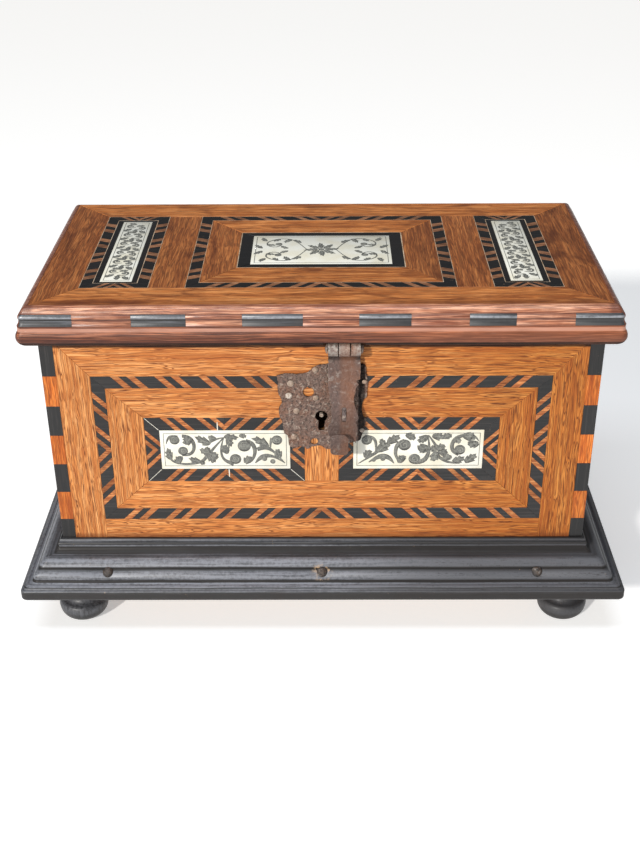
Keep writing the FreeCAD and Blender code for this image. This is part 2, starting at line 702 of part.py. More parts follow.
for side in SIDES:
    rail = moulding(f"lid_run_{side}", side, rail_profile(), "-dims.lid_rail_width", "dims.lid_overhang + 1",
                    LID_UNDER)
    if side == "front":
        rail = cut("lid_rail_front", rail, [barrel_notch, leaf_gain] + leaf_nails)
    if side == "back":
        rail = cut("lid_rail_back", rail, notches + [h[1]["lid"] for h in hinges] + lid_hinge_nails)
    node(rail, f"lid_rail_{side}")
board_low = (f"-{LID_EDGE_X}", f"-{LID_EDGE_Y}", LID_SEAT)
board_high = (LID_EDGE_X, LID_EDGE_Y, LID_CORE_TOP)
node(block("lid_board", board_low, board_high), "lid_board")

# Lengths of ebony let into the front strip; the other strips and the round top edge are rosewood
slabs = []
for i, (start, end) in enumerate(EBONY_SPANS):
    slabs.append(block(
        f"ebony_slab_{i}",
        (f"{start} * dims.carcass_width", f"-{HALF_D} - dims.lid_overhang - 1", f"{LID_UNDER} - 1"),
        (f"{end} * dims.carcass_width", f"-{HALF_D} + dims.lid_rebate + 1", f"{LID_TOP} + 1")))
ebony_slabs = fused("ebony_slabs", slabs)
rosewood_lengths = []
for side in SIDES:
    run = moulding(f"strip_run_{side}", side, strip_profile(), "-dims.lid_rebate", "dims.lid_overhang",
                   STRIP_LOW)
    if side == "front":
        ebony_lengths = doc.addObject("Part::Common", "ebony_lengths")
        ebony_lengths.Base = run
        ebony_lengths.Tool = ebony_slabs
        node(ebony_lengths, "lid_chequer_ebony")
        run = cut("strip_front_red", run, [ebony_slabs])
    roll = moulding(f"roll_run_{side}", side, roll_profile(), "-dims.lid_rebate", "dims.lid_overhang",
                    ROLL_LOW)
    rosewood_lengths += [run, roll]
node(grouped("lid_chequer_rosewood", rosewood_lengths), "lid_chequer_rosewood")

# Veneers, mitred, their grain along each strip
T = "dims.veneer_thick"


def front_rail(name, taper, near, far):
    """A horizontal strip on the front."""
    return trapezoid(name, FRONT, taper, (f"-{near}", near), (f"-{far}", far), T, ("0", f"-{CORE_D}", "0"))


def front_stile(name, taper, near, far):
    """An upright strip on the front."""
    return trapezoid(name, FRONT_STILE, taper, near, far, T, ("0", f"-{HALF_D}", "0"))


front_rails = [
    front_rail("front_top", (BAND_TOP, RIM), BAND_X, STRIP_X),
    front_rail("front_low", (BASE_TOP, BAND_LOW), BAND_X, BAND_X),
    front_rail("front_field_top", (PANEL_TOP, FIELD_TOP), PANEL_X, FIELD_X),
    front_rail("front_field_low", (FIELD_LOW, PANEL_LOW), FIELD_X, PANEL_X),
]
field_span, panel_span = (FIELD_LOW, FIELD_TOP), (PANEL_LOW, PANEL_TOP)
front_stiles = [
    front_stile("front_left", (f"-{STRIP_X}", f"-{BAND_X}"), (BASE_TOP, RIM), (BASE_TOP, BAND_TOP)),
    front_stile("front_right", (BAND_X, STRIP_X), (BASE_TOP, BAND_TOP), (BASE_TOP, RIM)),
    front_stile("front_field_left", (f"-{FIELD_X}", f"-{PANEL_X}"), field_span, panel_span),
    front_stile("front_field_right", (PANEL_X, FIELD_X), panel_span, field_span),
    front_stile("front_stile", (f"-{HALF_STILE}", HALF_STILE), panel_span, panel_span),
]
node(cut("front_veneer_rails", grouped("front_rails_raw", front_rails), [mortise] + plate_shanks),
     "front_veneer_rails")
node(cut("front_veneer_stiles", grouped("front_stiles_raw", front_stiles), [mortise] + plate_shanks),
     "front_veneer_stiles")
PLAQUE_OUT = f"({PANEL_X} - dims.plaque_band)"
PLAQUE_IN = f"({HALF_STILE} + dims.plaque_band)"
for side, x0, x1 in (("left", f"-{PLAQUE_OUT}", f"-{PLAQUE_IN}"), ("right", PLAQUE_IN, PLAQUE_OUT)):
    bone = block(f"bone_{side}", (x0, f"-{HALF_D}", f"{PANEL_LOW} + dims.plaque_band"),
                 (x1, f"-{CORE_D}", f"{PANEL_TOP} - dims.plaque_band"))
    node(cut(f"front_plaque_{side}", bone, [mortise] + plate_shanks), f"front_plaque_{side}")

END_BAND_Y = f"({STRIP_Y} - dims.end_side_border)"
END_FIELD_Y = f"({END_BAND_Y} - dims.band_width)"
END_PANEL_Y = f"({END_FIELD_Y} - dims.end_field_border)"
END_PANEL_TOP = f"({FIELD_TOP} - dims.end_field_border)"
END_PANEL_LOW = f"({FIELD_LOW} + dims.end_field_border)"
end_rails, end_stiles = [], []
for side, low_x, high_x in (("left", f"-{HALF_W}", f"-{CORE_W}"), ("right", CORE_W, HALF_W)):
    rail_base, stile_base = (low_x, "0", "0"), (high_x, "0", "0")
    for name, taper, near, far in (
            ("top", (BAND_TOP, RIM), END_BAND_Y, STRIP_Y),
            ("low", (BASE_TOP, BAND_LOW), END_BAND_Y, END_BAND_Y),
            ("field_top", (END_PANEL_TOP, FIELD_TOP), END_PANEL_Y, END_FIELD_Y),
            ("field_low", (FIELD_LOW, END_PANEL_LOW), END_FIELD_Y, END_PANEL_Y)):
        end_rails.append(trapezoid(
            f"end_{side}_{name}", END, taper, (f"-{near}", near), (f"-{far}", far), T, rail_base))
    inner_span = (END_PANEL_LOW, END_PANEL_TOP)
    for name, taper, near, far in (
            ("front", (f"-{STRIP_Y}", f"-{END_BAND_Y}"), (BASE_TOP, RIM), (BASE_TOP, BAND_TOP)),
            ("back", (END_BAND_Y, STRIP_Y), (BASE_TOP, BAND_TOP), (BASE_TOP, RIM)),
            ("field_front", (f"-{END_FIELD_Y}", f"-{END_PANEL_Y}"), field_span, inner_span),
            ("field_back", (END_PANEL_Y, END_FIELD_Y), inner_span, field_span),
            ("panel", (f"-{END_PANEL_Y}", END_PANEL_Y), inner_span, inner_span)):
        end_stiles.append(trapezoid(f"end_{side}_{name}", END_STILE, taper, near, far, T, stile_base))
node(grouped("end_veneer_rails", end_rails), "end_veneer_rails")
node(grouped("end_veneer_stiles", end_stiles), "end_veneer_stiles")
back_sheet = block("back_sheet", (f"-{STRIP_X}", CORE_D, BASE_TOP), (STRIP_X, HALF_D, RIM))
node(cut("back_veneer", back_sheet, notches + [h[1]["box"] for h in hinges]), "back_veneer")

LID_CENTRE_IN_X = "(dims.lid_centre_half_x - dims.lid_centre_band)"
LID_CENTRE_IN_Y = "(dims.lid_panel_half_y - dims.lid_centre_band)"
PICTURE_X = "(dims.lid_frame_half_x - dims.lid_frame_side)"
PICTURE_Y = "(dims.lid_frame_half_y - dims.lid_frame_end)"
SIDE_OUT = f"({SIDE_MIDDLE} + dims.lid_side_half_x)"
SIDE_IN = f"({SIDE_MIDDLE} - dims.lid_side_half_x)"
STRING_X = "(dims.lid_side_half_x - dims.lid_side_band)"
STRING_Y = "(dims.lid_panel_half_y - dims.lid_side_band)"
BONE_X = f"({STRING_X} - dims.lid_string_side)"
BONE_Y = f"({STRING_Y} - dims.lid_string_end)"


def lid_frame(name, middle, outer, inner):
    """Four mitred strips between two rectangles on the lid: rails, then stiles."""
    (ox, oy), (ix, iy) = outer, inner
    wide, small = (f"{middle} - {ox}", f"{middle} + {ox}"), (f"{middle} - {ix}", f"{middle} + {ix}")
    tall, short = (f"-{oy}", oy), (f"-{iy}", iy)
    low, top = ("0", "0", LID_CORE_TOP), ("0", "0", LID_TOP)
    rails = [trapezoid(f"{name}_front", PLAN, (f"-{oy}", f"-{iy}"), wide, small, T, low),
             trapezoid(f"{name}_back", PLAN, (iy, oy), small, wide, T, low)]
    stiles = [trapezoid(f"{name}_left", PLAN_STILE, (wide[0], small[0]), tall, short, T, top),
              trapezoid(f"{name}_right", PLAN_STILE, (small[1], wide[1]), short, tall, T, top)]
    return rails, stiles


frame_half = ("dims.lid_frame_half_x", "dims.lid_frame_half_y")
panel_half_y = "dims.lid_panel_half_y"
border = lid_frame("lid_border", "0", (SKIN_X, SKIN_Y), (SIDE_OUT, panel_half_y))
centre = lid_frame("lid_centre", "0", (LID_CENTRE_IN_X, LID_CENTRE_IN_Y), frame_half)
picture = lid_frame("lid_picture", "0", frame_half, (PICTURE_X, PICTURE_Y))
dividers = [
    block(f"lid_divider_{side}", (x0, f"-{panel_half_y}", LID_CORE_TOP), (x1, panel_half_y, LID_TOP))
    for side, x0, x1 in (("left", f"-{SIDE_IN}", "-dims.lid_centre_half_x"),
                         ("right", "dims.lid_centre_half_x", SIDE_IN))]
strings = []
for side, middle in (("left", f"-{SIDE_MIDDLE}"), ("right", SIDE_MIDDLE)):
    rails, stiles = lid_frame(f"lid_string_{side}", middle, (STRING_X, STRING_Y), (BONE_X, BONE_Y))
    strings += rails + stiles
    node(block(f"lid_plaque_{side}", (f"{middle} - {BONE_X}", f"-{BONE_Y}", LID_CORE_TOP),
               (f"{middle} + {BONE_X}", BONE_Y, LID_TOP)), f"lid_plaque_{side}")
picture_low = (f"-{PICTURE_X}", f"-{PICTURE_Y}", LID_CORE_TOP)
picture_high = (PICTURE_X, PICTURE_Y, LID_TOP)
node(block("lid_plaque_centre", picture_low, picture_high), "lid_plaque_centre")
node(grouped("lid_veneer_rails", border[0] + centre[0]), "lid_veneer_rails")
node(grouped("lid_veneer_stiles", border[1] + centre[1] + dividers), "lid_veneer_stiles")
node(grouped("lid_ebony_frames", picture[0] + picture[1] + strings), "lid_ebony_frames")

# Marquetry banding: slanting lamellae, mirrored about the middle of every run


def clipped(polygon, axis):
    """The part of a polygon on the negative side of one axis."""
    kept = []
    for i, a in enumerate(polygon):
        b = polygon[(i + 1) % len(polygon)]
        if a[axis] <= 0:
            kept.append(a)
        if (a[axis] < 0 < b[axis]) or (b[axis] < 0 < a[axis]):
            share = a[axis] / (a[axis] - b[axis])
            kept.append(tuple(p + share * (q - p) for p, q in zip(a, b)))
    return kept


def half_run(half, across, width, axis, lean):
    """Lamellae from a corner to the middle of a run, as (is_dark, polygon).

    The first starts at the mitre; the joints after it lean by a share of the width.
    """
    dark, light, thin = (sheet.get(f"lamella_{k}") for k in ("dark", "light", "thin"))
    period = dark + 2 * light + thin
    repeats = max(1, round((half - dark / 2) / period))
    scale = half / (repeats * period + dark / 2)
    start, shift, found = 0.0, width, []
    for step, length in enumerate([dark, light, thin, light] * repeats + [dark / 2]):
        end = start + length * scale
        polygon = [(start - half, across), (end - half, across),
                   (end - half + lean * width, across - width), (start - half + shift, across - width)]
        polygon = clipped(polygon, 0)
        found.append((step % 2 == 0, [p if axis == 0 else (-p[1], -p[0]) for p in polygon]))
        start, shift = end, lean * width
    return found


def banding(half_x, half_y, width, lean=1.0):
    """All lamellae of a rectangular frame about its own middle; lean is for the short runs."""
    pieces = []
    quarter = half_run(half_x, half_y, width, 0, 1.0) + half_run(half_y, half_x, width, 1, lean)
    for dark, polygon in quarter:
        for sx in (1, -1):
            for sy in (1, -1):
                pieces.append((dark, [(sx * p[0], sy * p[1]) for p in polygon]))
    return pieces


def laid(pieces, turn, base, thick, dark, tools=()):
    """Lamellae of one wood as solids laid on a face."""
    placed = FreeCAD.Placement(base, turn)
    solids = []
    for is_dark, polygon in pieces:
        if is_dark != dark:
            continue
        points = [V(x, y, 0) for x, y in polygon]
        face = Part.Face(Part.makePolygon(points + points[:1]))
        solid = face.extrude(V(0, 0, thick))
        solid.Placement = placed
        for tool in tools:
            if solid.Solids and solid.BoundBox.intersect(tool.BoundBox):
                solid = solid.cut(tool)
        solids += [s for s in solid.Solids if s.Volume > 0.5]
    return solids


def banding_nodes(name, frames):
    """One node of ebony and one of wood lamellae for a set of frames."""
    for wood, dark in (("ebony", True), ("wood", False)):
        solids = []
        for pieces, turn, base, tools in frames:
            solids += laid(pieces, turn, base, sheet.get("veneer_thick"), dark, tools)
        item = doc.addObject("Part::Feature", f"{name}_{wood}")
        item.Shape = Part.makeCompound(solids)
        node(item, f"{name}_{wood}")


doc.recompute()
hollow = [mortise.Shape] + [s.Shape for s in plate_shanks]
mid_z = value(f"({BAND_TOP} + {BAND_LOW}) / 2")
face_y = -value(CORE_D)
panel_mid = value(f"({PANEL_X} + {HALF_STILE}) / 2")
panel_half = value(f"({PANEL_X} - {HALF_STILE}) / 2")
panel_half_z = value(f"({PANEL_TOP} - {PANEL_LOW}) / 2")
panel_mid_z = value(f"({PANEL_TOP} + {PANEL_LOW}) / 2")
outer_band = banding(value(BAND_X), sheet.get("band_height") / 2, sheet.get("band_width"))
plaque_band = banding(panel_half, panel_half_z, sheet.get("plaque_band"))
banding_nodes("front_banding", [
    (outer_band, FRONT, V(0, face_y, mid_z), hollow),
    (plaque_band, FRONT, V(-panel_mid, face_y, panel_mid_z), hollow),
    (plaque_band, FRONT, V(panel_mid, face_y, panel_mid_z), hollow),
])
end_band = banding(value(END_BAND_Y), sheet.get("band_height") / 2, sheet.get("band_width"))
banding_nodes("end_banding", [
    (end_band, END, V(-value(HALF_W), 0, mid_z), ()),
    (end_band, END, V(value(CORE_W), 0, mid_z), ()),
])
lid_half_y = sheet.get("lid_panel_half_y")
lid_lean = sheet.get("lid_lamella_lean")
lid_centre_band = banding(sheet.get("lid_centre_half_x"), lid_half_y, sheet.get("lid_centre_band"), lid_lean)
lid_side_band = banding(sheet.get("lid_side_half_x"), lid_half_y, sheet.get("lid_side_band"), lid_lean)
lid_z = value(LID_CORE_TOP)
banding_nodes("lid_banding", [
    (lid_centre_band, PLAN, V(0, 0, lid_z), ()),
    (lid_side_band, PLAN, V(-value(SIDE_MIDDLE), 0, lid_z), ()),
    (lid_side_band, PLAN, V(value(SIDE_MIDDLE), 0, lid_z), ()),
])

# Lock plate of wrought iron, its outline from the keyhole as shares of its width and height
PLATE_OUTLINE = [
    (-0.497, 0.460, -1.4), (-0.278, 0.480, 0.0), (-0.161, 0.494, 1.2), (-0.110, 0.542, 0.0),
    (-0.026, 0.584, 0.0), (0.058, 0.594, -1.6), (0.436, 0.588, -0.8), (0.490, 0.561, 0.0),
    (0.519, 0.371, 0.0), (0.505, 0.232, -0.7), (0.474, 0.200, 1.6), (0.471, 0.004, -0.7),
    (0.500, -0.062, 0.0), (0.484, -0.151, 0.0), (0.444, -0.272, -0.8), (0.390, -0.296, 0.0),
    (0.137, -0.370, -1.0), (0.034, -0.380, 1.0), (-0.053, -0.345, 0.0), (-0.118, -0.357, -0.8),
    (-0.173, -0.384, 0.9), (-0.248, -0.357, -1.2), (-0.345, -0.372, 0.0), (-0.377, -0.328, 0.0),
    (-0.381, -0.249, 0.9), (-0.427, -0.204, 0.0), (-0.447, -0.059, -1.5), (-0.474, 0.116, 0.8),
    (-0.456, 0.203, -1.5), (-0.484, 0.374, 0.0),
]
PLATE_HOLES = {"large": (-8.9, 19.1, 3.3), "lower": (-5.3, -19.9, 2.3)}
plate = doc.addObject("PartDesign::Body", "plate_body")
plate_face = sketch(plate, "plate_outline", "XZ_Plane", [
    [(f"{x} * dims.plate_width", f"{z} * dims.plate_height", -bow) for x, z, bow in PLATE_OUTLINE]])
padded(plate, plate_face, "plate_sheet", "dims.plate_thick")
staple_room = "(dims.staple_width / 2 + dims.swing_clearance)"
staple_tall = "(dims.staple_height / 2 + 3 * dims.swing_clearance)"
half_slot = "(dims.keyhole_slot_width / 2)"
slot_top = "(0.6 * dims.keyhole_radius)"
plate_holes = sketch(plate, "plate_holes", "XZ_Plane", [
    [(f"dims.hasp_shift - {staple_room}", f"dims.bolt_rise - {staple_tall}", 0),
     (f"dims.hasp_shift + {staple_room}", f"dims.bolt_rise - {staple_tall}", 0),
     (f"dims.hasp_shift + {staple_room}", f"dims.bolt_rise + {staple_tall}", 0),
     (f"dims.hasp_shift - {staple_room}", f"dims.bolt_rise + {staple_tall}", 0)]])
for across, up, radius in PLATE_HOLES.values():
    circle(plate_holes, str(across), str(up), str(radius))
pocketed(plate, plate_holes, "plate_pierced")
keyhole_bow = sketch(plate, "keyhole_bow", "XZ_Plane", [])
circle(keyhole_bow, "0", "0", "dims.keyhole_radius")
pocketed(plate, keyhole_bow, "keyhole_round")
keyhole_slot = sketch(plate, "keyhole_slot", "XZ_Plane", [
    [(f"-{half_slot}", "-dims.keyhole_drop", 0), (half_slot, "-dims.keyhole_drop", 0),
     (half_slot, f"-{slot_top}", 0), (f"-{half_slot}", f"-{slot_top}", 0)]])
pocketed(plate, keyhole_slot, "keyhole_slotted")
place(plate, ("0", f"-{HALF_D}", KEY_Z))
node(cut("lock_plate", plate, plate_shanks), "lock_plate")

# Lock behind the plate: guides, sliding bolt, spring, key pin and cap
BOLT_FRONT = f"(-{HALF_D} + dims.bolt_clearance)"
BOLT_BACK = f"({BOLT_FRONT} + dims.bolt_thick)"
BOLT_LOW = f"({BOLT_Z} - dims.bolt_height / 2)"
BOLT_HIGH = f"({BOLT_Z} + dims.bolt_height / 2)"
BOLT_TAIL = "(dims.bolt_reach - dims.bolt_length)"
bolt_bar = block("bolt_bar", (BOLT_TAIL, BOLT_FRONT, BOLT_LOW), ("dims.bolt_reach", BOLT_BACK, BOLT_HIGH))
talon = block("bolt_talon", ("-dims.keyhole_radius", f"{BOLT_FRONT} - 1", f"{BOLT_LOW} - 1"),
              ("dims.keyhole_radius / 2", f"{BOLT_BACK} + 1", f"{BOLT_LOW} + 0.4 * dims.bolt_height"))
node(cut("lock_bolt", bolt_bar, [talon]), "lock_bolt")
guides = []
for i, x in enumerate(("-dims.guide_left", "dims.bolt_reach - dims.guide_width - 1")):
    shell = block(f"guide_shell_{i}",
                  (x, f"-{HALF_D}", f"{BOLT_LOW} - dims.bolt_clearance - dims.guide_wall"),
                  (f"{x} + dims.guide_width", f"{BOLT_BACK} + dims.bolt_clearance + dims.guide_wall",
                   f"{BOLT_HIGH} + dims.bolt_clearance + dims.guide_wall"))
    way = block(f"guide_way_{i}",
                (f"{x} - 1", f"-{HALF_D} - 1", f"{BOLT_LOW} - dims.bolt_clearance"),
                (f"{x} + dims.guide_width + 1", f"{BOLT_BACK} + dims.bolt_clearance",
                 f"{BOLT_HIGH} + dims.bolt_clearance"))
    guides.append(cut(f"guide_{i}", shell, [way]))
node(grouped("lock_guides", guides), "lock_guides")
spring_left = "(-dims.guide_left + dims.guide_width + dims.swing_clearance)"
spring_right = "(dims.bolt_reach - dims.guide_width - 1 - dims.swing_clearance)"
spring = doc.addObject("PartDesign::Body", "spring_body")
spring_foot = "(dims.bolt_height / 2 + dims.bolt_clearance)"
spring_top = "(dims.mortise_above - dims.bolt_rise)"
spring_face = sketch(spring, "spring_profile", "XZ_Plane", [[
    (spring_left, f"{spring_top} - dims.spring_thick", 0),
    (f"0.5 * ({spring_left} + {spring_right})", f"{spring_foot}", 0),
    (spring_right, f"{spring_top} - dims.spring_thick", 0),
    (spring_right, spring_top, 0),
    (f"0.5 * ({spring_left} + {spring_right})", f"{spring_foot} + dims.spring_thick", 0),
    (spring_left, spring_top, 0),
]])
padded(spring, spring_face, "spring_leaf", "dims.bolt_thick", reverse=True)
place(spring, ("0", BOLT_FRONT, BOLT_Z))
node(spring, "lock_spring")
key_pin = rod("key_pin", "dims.key_pin_radius", f"{HALF_D} - {INNER_D}",
              ("0", f"-{INNER_D}", KEY_Z), TO_FRONT)
node(key_pin, "lock_key_pin")
cap = block("cap_sheet",
            ("-dims.mortise_left - dims.cap_margin", f"-{INNER_D}",
             f"{KEY_Z} - dims.mortise_below - dims.cap_margin"),
            ("dims.mortise_right + dims.cap_margin", f"-{INNER_D} + dims.cap_thick",
             f"{KEY_Z} + dims.mortise_above + dims.cap_margin"))
node(cut("lock_cap", cap, cap_shanks), "lock_cap")
node(grouped("carcass_nails", plate_nails + cap_nails + box_hinge_nails), "carcass_nails")

# Hasp: shaped strap with a turned-up lip, its staple, the leaf on the lid and the pin
HASP_EDGES = [
    (-0.495, 0.0, 0.0), (-0.495, -0.39, 0.0), (-0.450, -0.485, 2.0), (-0.405, -0.600, 0.0),
    (-0.396, -0.690, 0.9), (-0.478, -0.760, -1.0), (-0.440, -0.885, 0.0), (0.144, -0.885, 0.0),
    (0.365, -0.945, 0.0), (0.436, -0.800, 0.0), (0.378, -0.740, 0.0), (0.464, -0.700, 0.0),
    (0.356, -0.585, 1.4), (0.365, -0.430, 0.9), (0.464, -0.363, 0.0), (0.365, -0.323, 0.0),
    (0.500, -0.316, 0.0), (0.500, 0.0, 0.0),
]
strap = doc.addObject("PartDesign::Body", "hasp_body")
strap_back = "(dims.hasp_knuckle - dims.hasp_inset)"
strap_front = f"({strap_back} - dims.hasp_thick)"
strap_face = sketch(strap, "hasp_outline", "XZ_Plane", [
    [(f"{x} * dims.hasp_width", f"{z} * dims.hasp_length", bow) for x, z, bow in HASP_EDGES]])
strap_face.setExpression("AttachmentOffset.Base.z", f"-{strap_back}")
padded(strap, strap_face, "hasp_strap_sheet", "dims.hasp_thick")
lip_face = sketch(strap, "lip_profile", "YZ_Plane", [[
    (strap_back, "-0.86 * dims.hasp_length", 0),
    (strap_front, "-0.86 * dims.hasp_length", 0),
    (strap_front, "-dims.hasp_length", 0.505),
    (f"{strap_back} - 2 * dims.lip_radius + dims.hasp_thick", "-dims.hasp_length", 0),
    (f"{strap_back} - 2 * dims.lip_radius + 0.5 * dims.hasp_thick", "-dims.hasp_length + dims.lip_height", 0),
    (f"{strap_back} - 2 * dims.lip_radius - 0.5 * dims.hasp_thick", "-dims.hasp_length + dims.lip_height", 0),
    (f"{strap_back} - 2 * dims.lip_radius", "-dims.hasp_length", -0.505),
    (strap_back, "-dims.hasp_length", 0),
]])
lip_shift = "(-0.148 * dims.hasp_width)"
lip_face.setExpression("AttachmentOffset.Base.z", lip_shift)
padded(strap, lip_face, "hasp_lip", "dims.lip_width", midplane=True)
lip_left = f"({lip_shift} - dims.lip_width / 2)"
lip_right = f"({lip_shift} + dims.lip_width / 2)"
lip_low = "(-dims.hasp_length - dims.lip_radius)"
lip_high = "(-dims.hasp_length + dims.lip_height)"
low_in, low_up = "1.2 * dims.lip_corner", f"({lip_low} + 1.5 * dims.lip_corner)"
low_out = f"({lip_low} - 0.1)"
round_low = sketch(strap, "lip_round_low", "XZ_Plane", [
    [(f"{lip_left} - 0.1", low_out, 0), (f"{lip_left} + {low_in}", low_out, 0),
     (f"{lip_left} + {low_in}", lip_low, 0.72), (lip_left, low_up, 0), (f"{lip_left} - 0.1", low_up, 0)],
    [(f"{lip_right} + 0.1", low_out, 0), (f"{lip_right} + 0.1", low_up, 0),
     (lip_right, low_up, 0.72), (f"{lip_right} - {low_in}", lip_low, 0),
     (f"{lip_right} - {low_in}", low_out, 0)]])
pocketed(strap, round_low, "lip_rounded_low")
high_in, high_down = "dims.lip_corner", f"({lip_high} - dims.lip_corner)"
high_out = f"({lip_high} + 0.1)"
round_high = sketch(strap, "lip_round_high", "XZ_Plane", [
    [(f"{lip_left} - 0.1", high_out, 0), (f"{lip_left} - 0.1", high_down, 0),
     (lip_left, high_down, 0.72), (f"{lip_left} + {high_in}", lip_high, 0),
     (f"{lip_left} + {high_in}", high_out, 0)],
    [(f"{lip_right} + 0.1", high_out, 0), (f"{lip_right} - {high_in}", high_out, 0),
     (f"{lip_right} - {high_in}", lip_high, 0.72), (lip_right, high_down, 0),
     (f"{lip_right} + 0.1", high_down, 0)]])
round_high.setExpression("AttachmentOffset.Base.z", f"-({strap_front} - 0.5 - 2 * dims.lip_radius)")
pocketed(strap, round_high, "lip_rounded_high", "4 * dims.lip_radius")
barrel_face = sketch(strap, "barrel_profile", "YZ_Plane", [])
circle(barrel_face, "0", "0", "dims.hasp_knuckle")
padded(strap, barrel_face, "hasp_barrel", "dims.hasp_width", midplane=True)
doc.recompute()
gap_half = f"({hasp_third} / 2 + dims.knuckle_clearance)"
gap_low = "(-dims.hasp_knuckle - dims.knuckle_clearance)"
gap_face = sketch(strap, "barrel_gap_profile", "XZ_Plane", [
    [(f"-{gap_half}", gap_low, 0), (gap_half, gap_low, 0),
     (gap_half, "dims.hasp_knuckle + 1", 0), (f"-{gap_half}", "dims.hasp_knuckle + 1", 0)]])
pocketed(strap, gap_face, "barrel_gap")
bore_face = sketch(strap, "bore_profile", "YZ_Plane", [])
circle(bore_face, "0", "0", "dims.hasp_pin + dims.pin_clearance")
pocketed(strap, bore_face, "barrel_bore")
staple_low = f"({BOLT_Z} - {HASP_Z} - dims.staple_height / 2)"
staple_high = f"({BOLT_Z} - {HASP_Z} + dims.staple_height / 2)"
slot_face = sketch(strap, "staple_slot_profile", "XZ_Plane", [
    [("-dims.staple_width / 2", staple_low, 0), ("dims.staple_width / 2", staple_low, 0),
     ("dims.staple_width / 2", staple_high, 0), ("-dims.staple_width / 2", staple_high, 0)]])
pocketed(strap, slot_face, "staple_slot")
OUTWARD = FreeCAD.Rotation(V(-1, 0, 0), DIMENSIONS["hasp_tilt"])


def hung(item):
    """Hangs a piece of the hasp from its hinge line, leaning off the plate."""
    place(item, ("dims.hasp_shift", HASP_Y, HASP_Z), OUTWARD)
    item.setExpression("Placement.Rotation.Angle", "dims.hasp_tilt")


hung(strap)
node(strap, "hasp_strap")
staple_block = block("staple_block", ("-dims.staple_width / 2", strap_front, staple_low),
                     ("dims.staple_width / 2", "dims.hasp_knuckle + dims.staple_reach", staple_high))
eye = block("staple_eye", ("-dims.staple_width", strap_back, f"{staple_low} + dims.staple_bar"),
            ("dims.staple_width", "dims.hasp_knuckle + dims.staple_reach - dims.staple_bar",
             f"{staple_high} - dims.staple_bar"))
staple = cut("hasp_staple", staple_block, [eye])
hung(staple)
node(staple, "hasp_staple")
half_third = f"({hasp_third} / 2)"
leaf_members = [
    block("hasp_leaf_sheet", leaf_low, leaf_high),
    block("hasp_leaf_tab", (f"dims.hasp_shift - {half_third}", HASP_Y, LID_UNDER),
          (f"dims.hasp_shift + {half_third}", f"{leaf_front} + 1", leaf_top)),
    rod("hasp_leaf_knuckle", "dims.hasp_knuckle", hasp_third,
        (f"dims.hasp_shift - {half_third}", HASP_Y, HASP_Z), TO_RIGHT),
]
leaf_bore = rod("hasp_leaf_bore", "dims.hasp_pin + dims.pin_clearance", "dims.hasp_width",
                (hasp_left, HASP_Y, HASP_Z), TO_RIGHT)
node(cut("hasp_leaf", fused("hasp_leaf_raw", leaf_members), [leaf_bore] + leaf_nails), "hasp_leaf")
pin_gap = "0.2"
hasp_pin = fused("hasp_pin", [
    rod("hasp_pin_rod", "dims.hasp_pin", f"dims.hasp_width + 2 * {pin_gap} + 0.2",
        (f"{hasp_left} - {pin_gap} - 0.1", HASP_Y, HASP_Z), TO_RIGHT),
    dome("hasp_pin_left", (f"{hasp_left} - {pin_gap}", HASP_Y, HASP_Z), TO_LEFT, "0.9 * dims.hasp_knuckle"),
    dome("hasp_pin_right", (f"{hasp_right} + {pin_gap}", HASP_Y, HASP_Z), TO_RIGHT,
         "0.9 * dims.hasp_knuckle"),
])
node(hasp_pin, "hasp_pin")
node(grouped("lid_nails", lid_hinge_nails + leaf_nails), "lid_nails")

# Check every object, then write one file for each sub-part
doc.recompute()
for item in doc.Objects:
    if "Invalid" in item.State or "Error" in item.State:
        raise SystemExit(f"{item.Name} did not recompute: {item.State}")
os.makedirs("parts", exist_ok=True)
for item, name in nodes:
    if item.Shape.isNull() or not item.Shape.isValid() or not item.Shape.Solids:
        raise SystemExit(f"{name} has no valid solid")
    item.Shape.exportStep(f"parts/{name}.step")
    box = item.Shape.BoundBox
    size = f"{box.XLength:.1f} x {box.YLength:.1f} x {box.ZLength:.1f}"
    print(f"{name}: {len(item.Shape.Solids)} solids, {size}")
print(len(nodes), "sub-parts")
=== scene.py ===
"""Looks of an inlaid wooden casket with an iron lock and hasp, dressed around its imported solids."""

import logging
import math
from contextlib import contextmanager
from dataclasses import dataclass, field, replace
from enum import Enum
from itertools import product
from typing import Any, Dict, FrozenSet, Iterator, List, Optional, Sequence, Set, Tuple, Union

import bpy
from mathutils import Matrix, Vector


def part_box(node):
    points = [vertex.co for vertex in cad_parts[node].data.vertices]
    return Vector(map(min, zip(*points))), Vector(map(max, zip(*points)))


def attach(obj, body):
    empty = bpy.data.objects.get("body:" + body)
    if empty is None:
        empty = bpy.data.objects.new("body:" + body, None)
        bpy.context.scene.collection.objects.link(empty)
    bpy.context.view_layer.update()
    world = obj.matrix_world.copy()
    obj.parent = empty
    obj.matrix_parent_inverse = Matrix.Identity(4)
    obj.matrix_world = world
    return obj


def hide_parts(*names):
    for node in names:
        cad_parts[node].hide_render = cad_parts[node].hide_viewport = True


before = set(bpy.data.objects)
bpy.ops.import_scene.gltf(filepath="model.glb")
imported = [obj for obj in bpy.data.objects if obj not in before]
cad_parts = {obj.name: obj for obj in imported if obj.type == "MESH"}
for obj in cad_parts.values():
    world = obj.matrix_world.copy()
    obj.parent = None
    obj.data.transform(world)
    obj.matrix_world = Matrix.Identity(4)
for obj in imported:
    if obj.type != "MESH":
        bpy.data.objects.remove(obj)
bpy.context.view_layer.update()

LOG = logging.getLogger("casket")
MM = 0.001
CARCASS_HALF = (190 * MM, 95 * MM)
SIDES = (1, -1)
Colour = Tuple[float, float, float, float]
Point2 = Tuple[float, float]
Point3 = Tuple[float, float, float]


